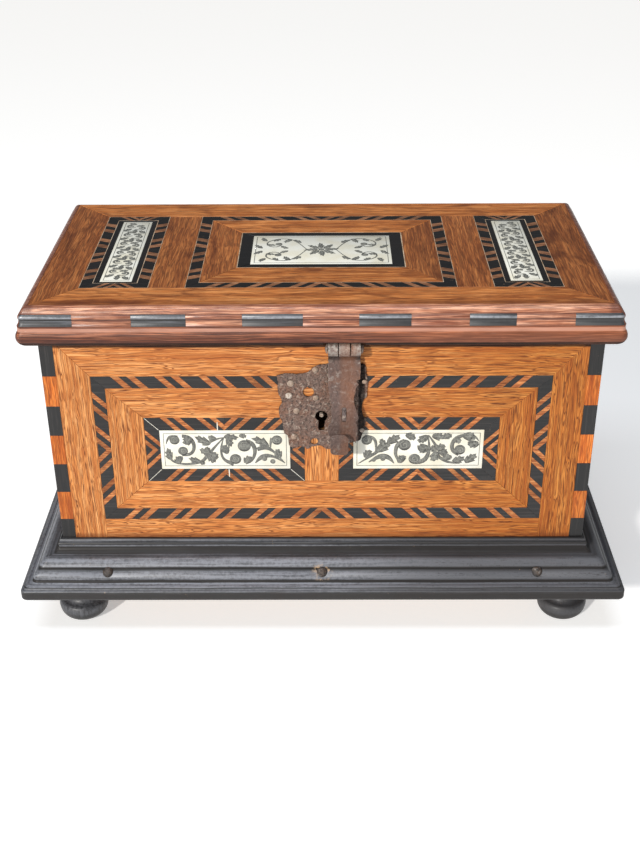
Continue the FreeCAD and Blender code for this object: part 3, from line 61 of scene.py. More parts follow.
def srgb(red: int, green: int, blue: int) -> Colour:
    """Turns a colour as seen on a screen into the linear colour that a shader takes.

    Args:
        red: Red from 0 to 255.
        green: Green from 0 to 255.
        blue: Blue from 0 to 255.

    Returns:
        The linear colour with full opacity.
    """
    linear = []
    for channel in (red, green, blue):
        share = channel / 255
        linear.append(share / 12.92 if share <= 0.04045 else ((share + 0.055) / 1.055) ** 2.4)
    return (linear[0], linear[1], linear[2], 1.0)


class Grain(Enum):
    """Axis along which a piece's wood grain runs."""

    X = 0
    Y = 1
    Z = 2

    def spread(self, across: float, along: float) -> Point3:
        """A vector with one value across the grain and another along it."""
        return tuple(along if axis == self.value else across for axis in range(3))


class Sock:
    """A shader socket that adds Math nodes when it is used in an expression."""

    def __init__(self, graph: "Graph", socket: bpy.types.NodeSocket) -> None:
        """Keeps the socket and the graph that new nodes go into."""
        self.graph = graph
        self.socket = socket

    def _math(self, operation: str, first: Any, second: Any = 0.0) -> "Sock":
        """Adds one Math node for an operation on two values."""
        return self.graph.node("ShaderNodeMath", {"operation": operation}, {0: first, 1: second})

    def __add__(self, other: Any) -> "Sock":
        """Sum of the two values."""
        return self._math("ADD", self, other)

    def __sub__(self, other: Any) -> "Sock":
        """Difference of the two values."""
        return self._math("SUBTRACT", self, other)

    def __rsub__(self, other: Any) -> "Sock":
        """Difference with a number on the left."""
        return self._math("SUBTRACT", other, self)

    def __mul__(self, other: Any) -> "Sock":
        """Product of the two values."""
        return self._math("MULTIPLY", self, other)

    __radd__ = __add__
    __rmul__ = __mul__

    def lines(self, count: float, low: float) -> "Sock":
        """Thin lines, a count of them for a change of 1 in the value, each from a low share of its step."""
        phase = self._math("FRACT", self * count)
        return (self._math("ABSOLUTE", phase - 0.5) * 2.0).between(low, 1.0)

    def between(self, low: float, high: float) -> "Sock":
        """Smooth share from 0 at the low value to 1 at the high one."""
        return self.graph.node(
            "ShaderNodeMapRange", {"interpolation_type": "SMOOTHSTEP", "clamp": True},
            {0: self, 1: low, 2: high, 3: 0.0, 4: 1.0})


@dataclass(frozen=True)
class Band:
    """Stripe of colour at a level along an axis, full to its core and gone at its reach, in mm. Bands lay
    real dirt, rubbing and tone, and also painted shade, painted shadows and painted highlights.
    """

    level: float
    core: float
    reach: float
    share: float
    colour: Colour
    dull: float = 0.0
    axis: str = "Z"


class Graph:
    """One material's node tree."""

    def __init__(self, name: str) -> None:
        """Starts an empty node material of that name."""
        self.material = bpy.data.materials.new(name)
        self.material.use_nodes = True
        self.tree = self.material.node_tree
        self.tree.nodes.clear()

    def node(self, kind: str, settings: Optional[Dict[str, Any]] = None,
             inputs: Optional[Dict[Any, Any]] = None, output: Union[int, str] = 0) -> Sock:
        """Adds a node, sets it, then gives its sockets their values or links.

        Args:
            kind: The node's type.
            settings: Properties to set first; "stops" fills a colour ramp.
            inputs: Socket name or number to a value or a Sock.
            output: Name or number of the output to return.

        Returns:
            The chosen output.
        """
        made = self.tree.nodes.new(kind)
        for key, value in (settings or {}).items():
            if key == "stops":
                elements = made.color_ramp.elements
                while len(elements) < len(value):
                    elements.new(1.0)
                for element, (place, colour) in zip(elements, value):
                    element.position = place
                    element.color = colour
            else:
                setattr(made, key, value)
        for key, value in (inputs or {}).items():
            if isinstance(value, Sock):
                self.tree.links.new(value.socket, made.inputs[key])
            else:
                made.inputs[key].default_value = value
        return Sock(self, made.outputs[output])

    def vector(self, operation: str, first: Any, second: Any, output: Union[int, str] = 0) -> Sock:
        """Adds one Vector Math node for an operation on two vectors."""
        return self.node("ShaderNodeVectorMath", {"operation": operation}, {0: first, 1: second}, output)

    def times(self, vector: Any, share: Sock) -> Sock:
        """A vector or a colour times a number."""
        return self.node("ShaderNodeVectorMath", {"operation": "SCALE"}, {0: vector, "Scale": share})

    def place(self) -> Sock:
        """Object coordinates of the surface."""
        return self.node("ShaderNodeTexCoord", output="Object")

    def island(self) -> Sock:
        """A random share that is the same all over one loose piece."""
        return self.node("ShaderNodeNewGeometry", output="Random Per Island")

    def edges(self) -> Sock:
        """Pointiness of the surface, above one half on ridges and below it in hollows."""
        return self.node("ShaderNodeNewGeometry", output="Pointiness")

    def shifted(self, place: Sock, share: Sock, reach: Point3) -> Sock:
        """Coordinates moved by a share of a vector."""
        return self.vector("ADD", place, self.times(reach, share))

    def scaled(self, place: Sock, scale: Point3) -> Sock:
        """Coordinates times a factor along each axis."""
        return self.node("ShaderNodeMapping", inputs={"Vector": place, "Scale": scale})

    def noise(self, place: Sock, scale: float, detail: float = 2.0, roughness: float = 0.5,
              distortion: float = 0.0, output: str = "Fac") -> Sock:
        """Smooth noise from 0 to 1, with its scale in features per metre."""
        return self.node(
            "ShaderNodeTexNoise", {"normalize": True},
            {"Vector": place, "Scale": scale, "Detail": detail, "Roughness": roughness,
             "Distortion": distortion}, output)

    def mix(self, share: Any, first: Any, second: Any, blend: str = "MIX") -> Sock:
        """Mixes a share of the second colour into the first."""
        return self.node(
            "ShaderNodeMix", {"data_type": "RGBA", "blend_type": blend, "clamp_factor": True},
            {0: share, 6: first, 7: second}, 2)

    def warped(self, place: Sock, size: float, reach: Point3) -> Sock:
        """Bends coordinates by smooth noise.

        Args:
            place: The coordinates.
            size: Length of a wave in metres.
            reach: How far each axis sways, in metres.

        Returns:
            The bent coordinates.
        """
        sway = self.noise(place, 1 / size, output="Color")
        centred = self.vector("SUBTRACT", sway, (0.5, 0.5, 0.5))
        return self.vector("ADD", place, self.vector("MULTIPLY", centred, reach))

    def ramp(self, share: Sock, stops: Sequence[Tuple[float, Colour]]) -> Sock:
        """Colour from a row of places and colours."""
        return self.node("ShaderNodeValToRGB", {"stops": stops}, {"Fac": share}, "Color")

    def part(self, place: Sock, axis: str) -> Sock:
        """Coordinate along X, Y or Z."""
        return self.node("ShaderNodeSeparateXYZ", inputs={0: place}, output=axis)

    def near(self, place: Sock, spot: Point3, radius: float) -> Sock:
        """Share that is 1 at a spot and 0 from a radius outwards."""
        return 1.0 - self.vector("DISTANCE", place, spot, "Value").between(0.0, radius)

    def banded(self, colour: Sock, place: Sock, bands: Sequence[Band], patch: Sock) -> Tuple[Sock, Any]:
        """Lays bands of colour over a colour: real dirt, rubbing and tone, and also painted shade, shadows
        and highlights.

        Args:
            colour: The colour under the bands.
            place: Place that the levels are read from.
            bands: The bands.
            patch: Noise about 0.5 that breaks the bands up.

        Returns:
            The new colour, and how much duller the surface is.
        """
        dull: Any = 0.0
        for band in bands:
            offset = self.part(place, band.axis) - band.level * MM
            share = 1.0 - (offset * offset).between((band.core * MM) ** 2, (band.reach * MM) ** 2)
            colour = self.mix(share * band.share * (0.5 + patch), colour, band.colour)
            dull = share * band.dull + dull
        return colour, dull

    def bump(self, height: Sock, depth: float) -> Sock:
        """Normal of a surface with fine relief of a depth in metres."""
        return self.node("ShaderNodeBump", inputs={"Height": height, "Distance": depth, "Strength": 1.0},
                         output="Normal")

    def finish(self, inputs: Dict[str, Any]) -> bpy.types.Material:
        """Adds the shader and the output.

        Args:
            inputs: Values and links of the shader's sockets.

        Returns:
            The finished material.
        """
        shader = self.node("ShaderNodeBsdfPrincipled", inputs=inputs)
        output = self.tree.nodes.new("ShaderNodeOutputMaterial")
        self.tree.links.new(shader.socket, output.inputs["Surface"])
        return self.material


class Finish:
    """A finish that makes each of its materials once."""

    name: str

    def material(self, grain: Optional[Grain] = None) -> bpy.types.Material:
        """The finish's material, for woods with the grain along one axis."""
        label = f"{self.name}_{grain.name.lower()}" if grain else self.name
        return bpy.data.materials.get(label) or self.made(Graph(label), grain)

    def made(self, graph: Graph, grain: Optional[Grain]) -> bpy.types.Material:
        """Makes the material's nodes."""
        raise NotImplementedError


@dataclass(frozen=True)
class WoodFinish(Finish):
    """Polished wood with wavy streaks, patches of tone and open pores, and bands and a spot that can paint
    shade, shadows and highlights into its colour.
    """

    name: str
    streaks: Colour
    ground: Colour
    glints: Colour
    pore: Colour
    stain: Colour
    piece_step: Point3 = (0.37, 0.91, 0.53)
    streak_width: float = 1.3 * MM
    streak_length: float = 15 * MM
    wave: float = 2.4 * MM
    ripple: float = 1.4
    figure_scale: float = 0.24
    figure_share: float = 0.38
    spread: float = 0.10
    pore_scale: float = 1.7
    pore_share: float = 0.3
    pore_span: Point2 = (0.56, 0.66)
    ring_count: float = 9.0
    ring_share: float = 0.75
    ring_low: float = 0.3
    ring_span: Point2 = (0.3, 0.5)
    ring_sway: float = 0.08
    stain_share: float = 0.35
    stain_span: Point2 = (0.48, 0.72)
    stain_size: float = 30 * MM
    stain_stretch: float = 0.45
    tone_spread: float = 0.2
    roughness: float = 0.42
    coat: float = 0.15
    coat_roughness: float = 0.25
    specular: float = 0.25
    relief: float = 0.1 * MM
    bands: Tuple[Band, ...] = ()
    # Span along X over which the wood turns darker and warmer, and the tint multiplied in there.
    darkening_span: Optional[Point2] = None
    darkening_tint: Colour = srgb(220, 205, 162)
    # A spot of painted shade, darkening wood seen in a recess such as the keyhole's slot.
    painted_shade_spot: Optional[Point3] = None
    painted_shade_radius: float = 12 * MM
    painted_shade_span: Point2 = (0.1, 0.35)
    painted_shade_share: float = 0.96
    painted_shade: Colour = srgb(20, 15, 12)
    dark_ends: Optional[Point2] = None

    def made(self, graph: Graph, grain: Grain) -> bpy.types.Material:
        """Makes the wood with its grain along one axis.

        Args:
            graph: The material's nodes.
            grain: Axis of the grain.

        Returns:
            The material.
        """
        own = graph.island()
        spot = graph.place()
        place = graph.shifted(spot, own, self.piece_step)
        bent = graph.warped(place, self.ripple * self.streak_length, grain.spread(self.wave, 0.0))
        along = graph.scaled(bent, grain.spread(1 / self.streak_width, 1 / self.streak_length))
        streak = graph.noise(along, 1.0, 3.0, 0.6)
        figure = graph.noise(graph.scaled(along, (self.figure_scale,) * 3), 1.0)
        colour = graph.ramp((1 - self.figure_share) * streak + self.figure_share * figure, (
            (0.5 - self.spread, self.streaks), (0.5, self.ground), (0.5 + self.spread, self.glints)))
        fine = graph.noise(graph.scaled(along, (self.pore_scale,) * 3), 1.0, 2.0, 0.55)
        pores = fine.between(*self.pore_span)
        colour = graph.mix(pores * self.pore_share, colour, self.pore)
        rings = (figure + self.ring_sway * streak).lines(self.ring_count, self.ring_low)
        rings = rings * streak.between(*self.ring_span)
        colour = graph.mix(rings * self.ring_share, colour, self.pore)
        drawn = grain.spread(1 / self.stain_size, self.stain_stretch / self.stain_size)
        cloud = graph.noise(graph.scaled(place, drawn), 1.0, 4.0, 0.6, 0.6)
        colour = graph.mix(cloud.between(*self.stain_span) * self.stain_share, colour, self.stain)
        # Darker and warmer along X, by a tint multiplied in.
        if self.darkening_span:
            darkening = graph.part(spot, "X").between(*self.darkening_span)
            colour = graph.mix(darkening, colour, self.darkening_tint, "MULTIPLY")
        # Painted shade in a spot, for wood seen in a recess.
        if self.painted_shade_spot:
            painted_shade = graph.near(spot, self.painted_shade_spot, self.painted_shade_radius).between(*self.painted_shade_span)
            colour = graph.mix(painted_shade * self.painted_shade_share, colour, self.painted_shade)
        if self.dark_ends:
            across = graph.part(spot, "X")
            worn = (across * across).between(*(end ** 2 for end in self.dark_ends))
            colour = graph.mix(worn * (0.45 + 0.5 * cloud), colour, self.pore)
        # Bands of stains and tone, and of painted shade, shadows and highlights.
        colour, dull = graph.banded(colour, spot, self.bands, cloud)
        shade = 1.0 - self.tone_spread * (own - 0.5)
        rough = self.roughness + 0.25 * (streak - 0.5) + 0.2 * (cloud - 0.5) + dull
        return graph.finish({
            "Base Color": graph.times(colour, shade), "Roughness": rough, "Coat Weight": self.coat,
            "Coat Roughness": self.coat_roughness, "Specular IOR Level": self.specular,
            "Normal": graph.bump(streak - 0.6 * pores, self.relief)})


@dataclass(frozen=True)
class EbonyFinish(Finish):
    """Close-grained black wood, rubbed to a satin and scuffed grey in streaks, with bands that can paint
    sheen and shade into its colour.
    """

    name: str
    black: Colour
    grey: Colour
    brown: Colour
    roughness: float = 0.45
    coat: float = 0.1
    specular: float = 0.5
    piece_step: Point3 = (0.61, 0.23, 0.47)
    fibre_scale: Point2 = (700.0, 22.0)
    grey_share: float = 0.7
    grey_span: Point2 = (0.45, 0.75)
    cloud_scale: float = 45.0
    brown_share: float = 0.5
    brown_span: Point2 = (0.5, 0.75)
    nick_scale: float = 260.0
    nick_share: float = 0.5
    nick_span: Point2 = (0.70, 0.76)
    scuff_scale: float = 420.0
    tone_spread: float = 0.4
    coat_roughness: float = 0.3
    relief: float = 0.1 * MM
    bands: Tuple[Band, ...] = ()
    band_wave: float = 60 * MM
    band_sway: float = 0.8 * MM
    bare: Colour = (0.3, 0.2, 0.13, 1.0)
    bare_spot: Optional[Point3] = None
    bare_radius: float = 11 * MM
    bare_share: float = 0.85
    bare_span: Point2 = (0.1, 0.5)
    chip_scale: float = 240.0
    chip_span: Point2 = (0.44, 0.58)

    def made(self, graph: Graph, grain: Grain) -> bpy.types.Material:
        """Makes the black wood with its grain along one axis.

        Args:
            graph: The material's nodes.
            grain: Axis of the grain.

        Returns:
            The material.
        """
        own = graph.island()
        spot = graph.place()
        place = graph.shifted(spot, own, self.piece_step)
        fibres = graph.noise(graph.scaled(place, grain.spread(*self.fibre_scale)), 1.0, 4.0, 0.65, 0.3)
        cloud = graph.noise(place, self.cloud_scale, 4.0, 0.6)
        colour = graph.mix(fibres.between(*self.grey_span) * self.grey_share, self.black, self.grey)
        colour = graph.mix(cloud.between(*self.brown_span) * self.brown_share, colour, self.brown)
        nicks = graph.noise(place, self.nick_scale, 3.0, 0.7).between(*self.nick_span)
        colour = graph.mix(nicks * self.nick_share, colour, self.bare)
        if self.bare_spot:
            chips = graph.noise(place, self.chip_scale, 4.0, 0.7).between(*self.chip_span)
            worn = graph.near(spot, self.bare_spot, self.bare_radius).between(*self.bare_span)
            colour = graph.mix(worn * chips * self.bare_share, colour, self.bare)
        scuffs = graph.noise(place, self.scuff_scale, 3.0, 0.7)
        # Bands of painted sheen and painted shade, wandering a little in height.
        level = graph.warped(spot, self.band_wave, (0.0, 0.0, self.band_sway))
        colour, dull = graph.banded(colour, level, self.bands, 3.0 * (fibres + 0.7 * scuffs) - 2.05)
        shade = 1.0 - self.tone_spread * (own - 0.5)
        rough = self.roughness + 0.35 * (fibres - 0.5) + 0.25 * (cloud - 0.5) + dull
        return graph.finish({
            "Base Color": graph.times(colour, shade), "Roughness": rough, "Coat Weight": self.coat,
            "Coat Roughness": self.coat_roughness, "Specular IOR Level": self.specular,
            "Normal": graph.bump(fibres - nicks, self.relief)})


@dataclass(frozen=True)
class SeamFinish(Finish):
    """Glue, dirt or rubbed wood along the eased edge of a piece."""

    name: str
    first: Colour
    second: Colour
    roughness: float = 0.55
    patch_scale: float = 160.0
    patch_span: Point2 = (0.40, 0.62)

    def made(self, graph: Graph, _: Optional[Grain]) -> bpy.types.Material:
        """Makes the edge's broken colour."""
        patch = graph.noise(graph.place(), self.patch_scale, 3.0, 0.6).between(*self.patch_span)
        return graph.finish({
            "Base Color": graph.mix(patch, self.first, self.second),
            "Roughness": self.roughness + 0.2 * (patch - 0.5)})


@dataclass(frozen=True)
class BoneFinish(Finish):
    """Polished bone with warm stains and short pores."""

    name: str
    white: Colour
    cream: Colour
    soiled: Colour
    roughness: float = 0.32
    coat: float = 0.2
    coat_roughness: float = 0.2
    cloud_scale: float = 60.0
    cloud_span: Point2 = (0.35, 0.7)
    pore_scale: float = 900.0
    pore_share: float = 0.3
    pore_span: Point2 = (0.62, 0.8)
    relief: float = 0.03 * MM

    def made(self, graph: Graph, _: Optional[Grain]) -> bpy.types.Material:
        """Makes the bone."""
        place = graph.place()
        cloud = graph.noise(place, self.cloud_scale, 3.0, 0.55)
        pores = graph.noise(place, self.pore_scale)
        colour = graph.mix(cloud.between(*self.cloud_span), self.white, self.cream)
        colour = graph.mix(pores.between(*self.pore_span) * self.pore_share, colour, self.soiled)
        return graph.finish({
            "Base Color": colour, "Roughness": self.roughness + 0.2 * (cloud - 0.5), "Coat Weight": self.coat,
            "Coat Roughness": self.coat_roughness, "Normal": graph.bump(pores, self.relief)})


@dataclass(frozen=True)
class EngravingFinish(Finish):
    """Dark mastic rubbed into hatched cuts, with the bone showing between the lines."""

    name: str
    dark: Colour
    pale: Colour
    roughness: float = 0.5
    hatch_scale: Point3 = (1300.0, 1300.0, 500.0)
    hatch_share: float = 0.6
    hatch_span: Point2 = (0.40, 0.68)
    cloud_scale: float = 300.0
    cloud_share: float = 0.4
    cloud_span: Point2 = (0.45, 0.75)

    def made(self, graph: Graph, _: Optional[Grain]) -> bpy.types.Material:
        """Makes the filled engraving."""
        place = graph.place()
        hatch = graph.noise(graph.scaled(place, self.hatch_scale), 1.0, 2.0, 0.6, 1.2)
        cloud = graph.noise(place, self.cloud_scale)
        lines = hatch.between(*self.hatch_span) * self.hatch_share
        share = lines + cloud.between(*self.cloud_span) * self.cloud_share
        return graph.finish({
            "Base Color": graph.mix(share, self.dark, self.pale), "Roughness": self.roughness})


@dataclass(frozen=True)
class IronFinish(Finish):
    """Forged iron, browned by rust and rubbed bright on its high spots. Above a height it can turn brighter,
    partly rubbing and partly a painted highlight, and bands can paint shadow and shade.
    """

    name: str
    brown: Colour
    rust: Colour
    black: Colour
    bright: Colour
    rust_size: float = 12 * MM
    rust_span: Point2 = (0.42, 0.60)
    pit_share: float = 0.85
    pit_span: Point2 = (0.46, 0.66)
    speck_share: float = 0.55
    speck_span: Point2 = (0.54, 0.66)
    ridge_share: float = 0.5
    ridge_span: Point2 = (0.51, 0.57)
    hollow_share: float = 0.75
    hollow_span: Point2 = (0.43, 0.49)
    relief: float = 0.9 * MM
    bright_span: Optional[Point2] = None
    bands: Tuple[Band, ...] = ()
    pit_scale: float = 520.0
    speck_scale: float = 280.0
    roughness: float = 0.56

    def made(self, graph: Graph, _: Optional[Grain]) -> bpy.types.Material:
        """Makes the iron."""
        place = graph.place()
        blotch = graph.noise(place, 1 / self.rust_size, 4.0, 0.6)
        pits = graph.noise(place, self.pit_scale, 4.0, 0.65)
        specks = graph.noise(place, self.speck_scale, 3.0, 0.6, 0.8).between(*self.speck_span)
        ridge = graph.edges().between(*self.ridge_span)
        hollow = 1.0 - graph.edges().between(*self.hollow_span)
        colour = graph.mix(blotch.between(*self.rust_span), self.brown, self.rust)
        colour = graph.mix(pits.between(*self.pit_span) * self.pit_share, colour, self.black)
        colour = graph.mix(hollow * self.hollow_share, colour, self.black)
        rubbed = ridge * self.ridge_share * pits + self.speck_share * specks
        # Above a height the iron turns brighter and more metallic: partly rubbing, partly a painted highlight
        # on the piece's top, as on the hasp's barrel.
        if self.bright_span:
            high = graph.part(place, "Z").between(*self.bright_span)
            rubbed = rubbed + high * pits.between(0.3, 0.7) * 0.55
        colour = graph.mix(rubbed, colour, self.bright)
        # Bands of rust tone, and of painted shadow and shade.
        colour, dull = graph.banded(colour, place, self.bands, pits)
        return graph.finish({
            "Base Color": colour, "Roughness": self.roughness - 0.2 * rubbed + 0.3 * (pits - 0.5) + dull,
            "Metallic": 0.1 + 0.5 * rubbed, "Normal": graph.bump(pits + 0.6 * blotch, self.relief)})


# Near black painted shadow, laid under the lid's nosing, beside the hasp strap and under its barrel.
PAINTED_SHADOW = srgb(24, 16, 12)
# Painted shade for the plinth's hollow, coves and creases, its lower fascia and its right end.
MOULDING_SHADE = srgb(26, 22, 21)
# Painted sheen for the crowns of the plinth's beads and swellings, and for the feet.
SHEEN = srgb(112, 114, 121)
# Front veneer: darker and warmer towards the right; painted shade round the keyhole's slot; darker along its
# bottom edge over the plinth; a near black painted shadow under the lid's nosing.
FRUITWOOD = WoodFinish(
    "fruitwood_veneer", srgb(178, 103, 49), srgb(208, 133, 68), srgb(229, 163, 102), srgb(110, 57, 26),
    srgb(166, 88, 36), streak_width=0.8 * MM, streak_length=32 * MM, ripple=0.7, ring_count=13.0,
    ring_share=1.0, tone_spread=0.12, roughness=0.48, coat=0.0, darkening_span=(-50 * MM, 160 * MM),
    painted_shade_spot=(0.0, -94 * MM, 159.5 * MM),
    bands=(Band(66, 0.5, 5, 0.6, srgb(96, 46, 19)), Band(223, 1.6, 3.2, 0.9, srgb(40, 22, 13), 0.3)))
WALNUT = WoodFinish(
    "lid_walnut", srgb(118, 63, 28), srgb(150, 86, 42), srgb(176, 109, 58), srgb(52, 24, 11),
    srgb(76, 34, 15), streak_width=1.0 * MM, streak_length=24 * MM, wave=3 * MM, pore_share=0.25,
    ring_share=0.6, stain_share=0.75, stain_size=20 * MM, coat=0.0)
LID_RAIL = replace(
    WALNUT, name="lid_rail_walnut", streaks=srgb(150, 82, 36), ground=srgb(192, 115, 56),
    glints=srgb(216, 143, 82), stain=srgb(92, 42, 18),
    bands=(Band(-98, 1.0, 9, 0.5, srgb(84, 38, 17), axis="Y"),))
LAMELLA = WoodFinish(
    "banding_wood", srgb(136, 74, 38), srgb(180, 109, 60), srgb(202, 139, 87), srgb(96, 50, 26),
    srgb(150, 86, 46), streak_width=0.7 * MM, streak_length=9 * MM, wave=0.6 * MM, pore_share=0.4,
    tone_spread=0.5, coat=0.0)
LID_LAMELLA = replace(
    LAMELLA, name="lid_banding_wood", streaks=srgb(100, 62, 40), ground=srgb(140, 94, 63),
    glints=srgb(168, 122, 90), pore=srgb(76, 46, 30), stain=srgb(108, 70, 48))
PADAUK = WoodFinish(
    "padauk", srgb(156, 76, 27), srgb(196, 105, 38), srgb(214, 131, 61), srgb(112, 52, 22),
    srgb(160, 80, 32), streak_width=0.9 * MM, streak_length=14 * MM, wave=1.0 * MM, pore_share=0.35,
    tone_spread=0.3, coat=0.0)
# Lid rails: a lighter, redder right end; painted shade on the nosing's lower round, a painted shadow on its
# underside, painted shade in the neck crease above it, and a painted highlight along its shoulder.
ROSEWOOD = WoodFinish(
    "rosewood", srgb(70, 31, 17), srgb(122, 65, 39), srgb(176, 108, 74), srgb(50, 22, 13),
    srgb(72, 34, 21), spread=0.08, streak_width=1.0 * MM, streak_length=34 * MM, wave=2.0 * MM,
    stain_share=0.7, stain_size=14 * MM, coat=0.0, specular=0.4,
    bands=(Band(160, 50, 150, 0.35, srgb(184, 112, 76), axis="X"),
           Band(230.5, 3, 6, 0.5, srgb(74, 32, 16), 0.1),
           Band(228, 0.8, 1.8, 0.9, PAINTED_SHADOW, 0.4),
           Band(240.6, 0.4, 1.2, 0.4, srgb(92, 46, 28), 0.2),
           Band(238.3, 0.5, 1.7, 0.7, srgb(202, 148, 126), -0.1)))
# Chequer strip rosewood: worn dark ends, and painted shade in the quirks at the strip's lower edge, middle
# and top.
STRIPWOOD = WoodFinish(
    "strip_rosewood", srgb(124, 70, 48), srgb(188, 124, 92), srgb(214, 158, 126), srgb(84, 42, 30),
    srgb(120, 62, 40), streak_width=0.8 * MM, streak_length=26 * MM, wave=1.2 * MM, pore_share=0.5,
    spread=0.08, tone_spread=0.1, stain_share=0.5, stain_size=14 * MM, roughness=0.4, coat=0.2,
    specular=0.5, dark_ends=(187 * MM, 191 * MM),
    bands=(Band(240.6, 0.3, 1.0, 0.5, srgb(84, 42, 30), 0.2),
           Band(245.2, 0.3, 0.9, 0.75, srgb(76, 38, 26), 0.2),
           Band(248.4, 0.2, 0.9, 0.45, srgb(84, 42, 30), 0.2)))
CARCASS = WoodFinish(
    "carcass_wood", srgb(100, 66, 38), srgb(138, 98, 60), srgb(160, 120, 78), srgb(80, 50, 28),
    srgb(112, 76, 44), streak_width=2.0 * MM, streak_length=60 * MM, wave=5 * MM, roughness=0.6, coat=0.0)
EBONY = EbonyFinish("ebony", srgb(24, 23, 23), srgb(58, 55, 54), srgb(42, 33, 28), specular=0.4)
LID_EBONY = EbonyFinish(
    "lid_ebony", srgb(15, 14, 15), srgb(40, 38, 38), srgb(28, 22, 19), coat=0.0, specular=0.3)
# Chequer strip ebony: pale bluish grey streaks, partly scuffing and partly a painted sheen; bands paint shade
# over the right end, a highlight on the upper part, and shade in the middle quirk and along the lower edge.
STRIP_EBONY = EbonyFinish(
    "strip_ebony", srgb(38, 39, 42), srgb(112, 115, 122), srgb(56, 51, 48), 0.46, 0.15, 0.8,
    bands=(Band(150, 60, 190, 0.6, srgb(26, 26, 28), axis="X"),
           Band(246.8, 0.4, 1.2, 0.55, srgb(146, 149, 156), -0.1),
           Band(245.2, 0.4, 1.0, 0.85, srgb(22, 21, 22), 0.2),
           Band(241.4, 0.4, 1.2, 0.6, srgb(34, 33, 33), 0.2)))
# Plinth and feet: bands paint sheen on the beads, the swellings, the fascia's edge and the feet's bellies,
# and paint shade in the hollow, the coves and creases, on the lower fascia and along the right end.
EBONISED = EbonyFinish(
    "ebonised_wood", srgb(17, 16, 17), srgb(70, 69, 71), srgb(36, 29, 26), 0.5, 0.15,
    bands=(Band(58.8, 2.0, 2.9, 0.8, MOULDING_SHADE, 0.3), Band(64.8, 0.4, 1.4, 0.4, SHEEN),
           Band(61.3, 0.5, 1.0, 0.75, SHEEN), Band(53.8, 1.6, 2.7, 0.8, SHEEN),
           Band(50.2, 0.2, 1.2, 0.4, MOULDING_SHADE, 0.3), Band(46, 1.0, 3.6, 0.85, SHEEN),
           Band(42.0, 0.7, 1.0, 0.9, MOULDING_SHADE, 0.3), Band(40.8, 0.3, 0.6, 0.9, SHEEN),
           Band(38.8, 0.4, 1.3, 0.45, SHEEN), Band(34.4, 1.4, 3.2, 0.7, MOULDING_SHADE, 0.2),
           Band(15, 3, 9, 0.35, SHEEN), Band(170, 40, 170, 0.5, MOULDING_SHADE, 0.1, "X")))
PLINTH_FRONT = replace(
    EBONISED, name="ebonised_front", bare=srgb(176, 146, 112), bare_spot=(0.0, -113.5 * MM, 48.5 * MM))
PALE_SEAM = SeamFinish("pale_seam", srgb(160, 126, 92), srgb(96, 70, 48))
DARK_SEAM = SeamFinish("dark_seam", srgb(64, 34, 17), srgb(112, 66, 34))
RUBBED_EDGE = SeamFinish("rubbed_edge", srgb(36, 34, 33), srgb(84, 78, 73), 0.5)
RUBBED_ROSEWOOD = SeamFinish("rubbed_rosewood", srgb(120, 64, 44), srgb(176, 116, 88), 0.38)
BONE = BoneFinish("polished_bone", srgb(226, 224, 213), srgb(216, 210, 190), srgb(170, 150, 112))
ENGRAVING = EngravingFinish("filled_engraving", srgb(84, 84, 80), srgb(138, 138, 130))
RIB = SeamFinish("engraved_rib", srgb(172, 171, 161), srgb(136, 136, 127))
STRINGING = SeamFinish("stringing", srgb(196, 174, 148), srgb(150, 124, 98))
STUD_IRON = IronFinish("stud_iron", srgb(58, 55, 54), srgb(76, 64, 56), srgb(30, 28, 28), srgb(150, 146, 142))
IRON = IronFinish("forged_iron", srgb(108, 86, 76), srgb(116, 84, 68), srgb(46, 36, 32), srgb(176, 160, 146))
# Lock plate: the hasp strap's shadow painted near black on the plate beside the strap.
PLATE_IRON = replace(IRON, name="plate_iron", bands=(Band(27.6, 1.4, 3.0, 0.9, PAINTED_SHADOW, 0.3, "X"),))
LIP_IRON = replace(IRON, name="lip_iron", brown=srgb(94, 80, 77), rust=srgb(104, 84, 77))
# Hasp strap: its barrel's top brighter, partly rubbing and partly a painted highlight; bands paint shade
# under the barrel, give the right half a redder rust and darken the lower part.
STRAP_IRON = IronFinish(
    "strap_iron", srgb(96, 75, 68), srgb(116, 79, 60), srgb(54, 43, 39), srgb(190, 182, 172),
    rust_size=24 * MM, pit_share=0.5, speck_share=0.25, relief=0.6 * MM, bright_span=(217.5 * MM, 220.5 * MM),
    bands=(Band(216.2, 0.8, 3.6, 0.8, PAINTED_SHADOW, 0.3), Band(18, 1.0, 7, 0.4, srgb(130, 84, 58), 0.1, "X"),
           Band(146, 12, 40, 0.45, srgb(62, 47, 41), 0.1)))
NAIL_IRON = IronFinish(
    "nail_iron", srgb(172, 156, 142), srgb(154, 130, 112), srgb(92, 78, 70), srgb(226, 218, 208),
    pit_share=0.4)


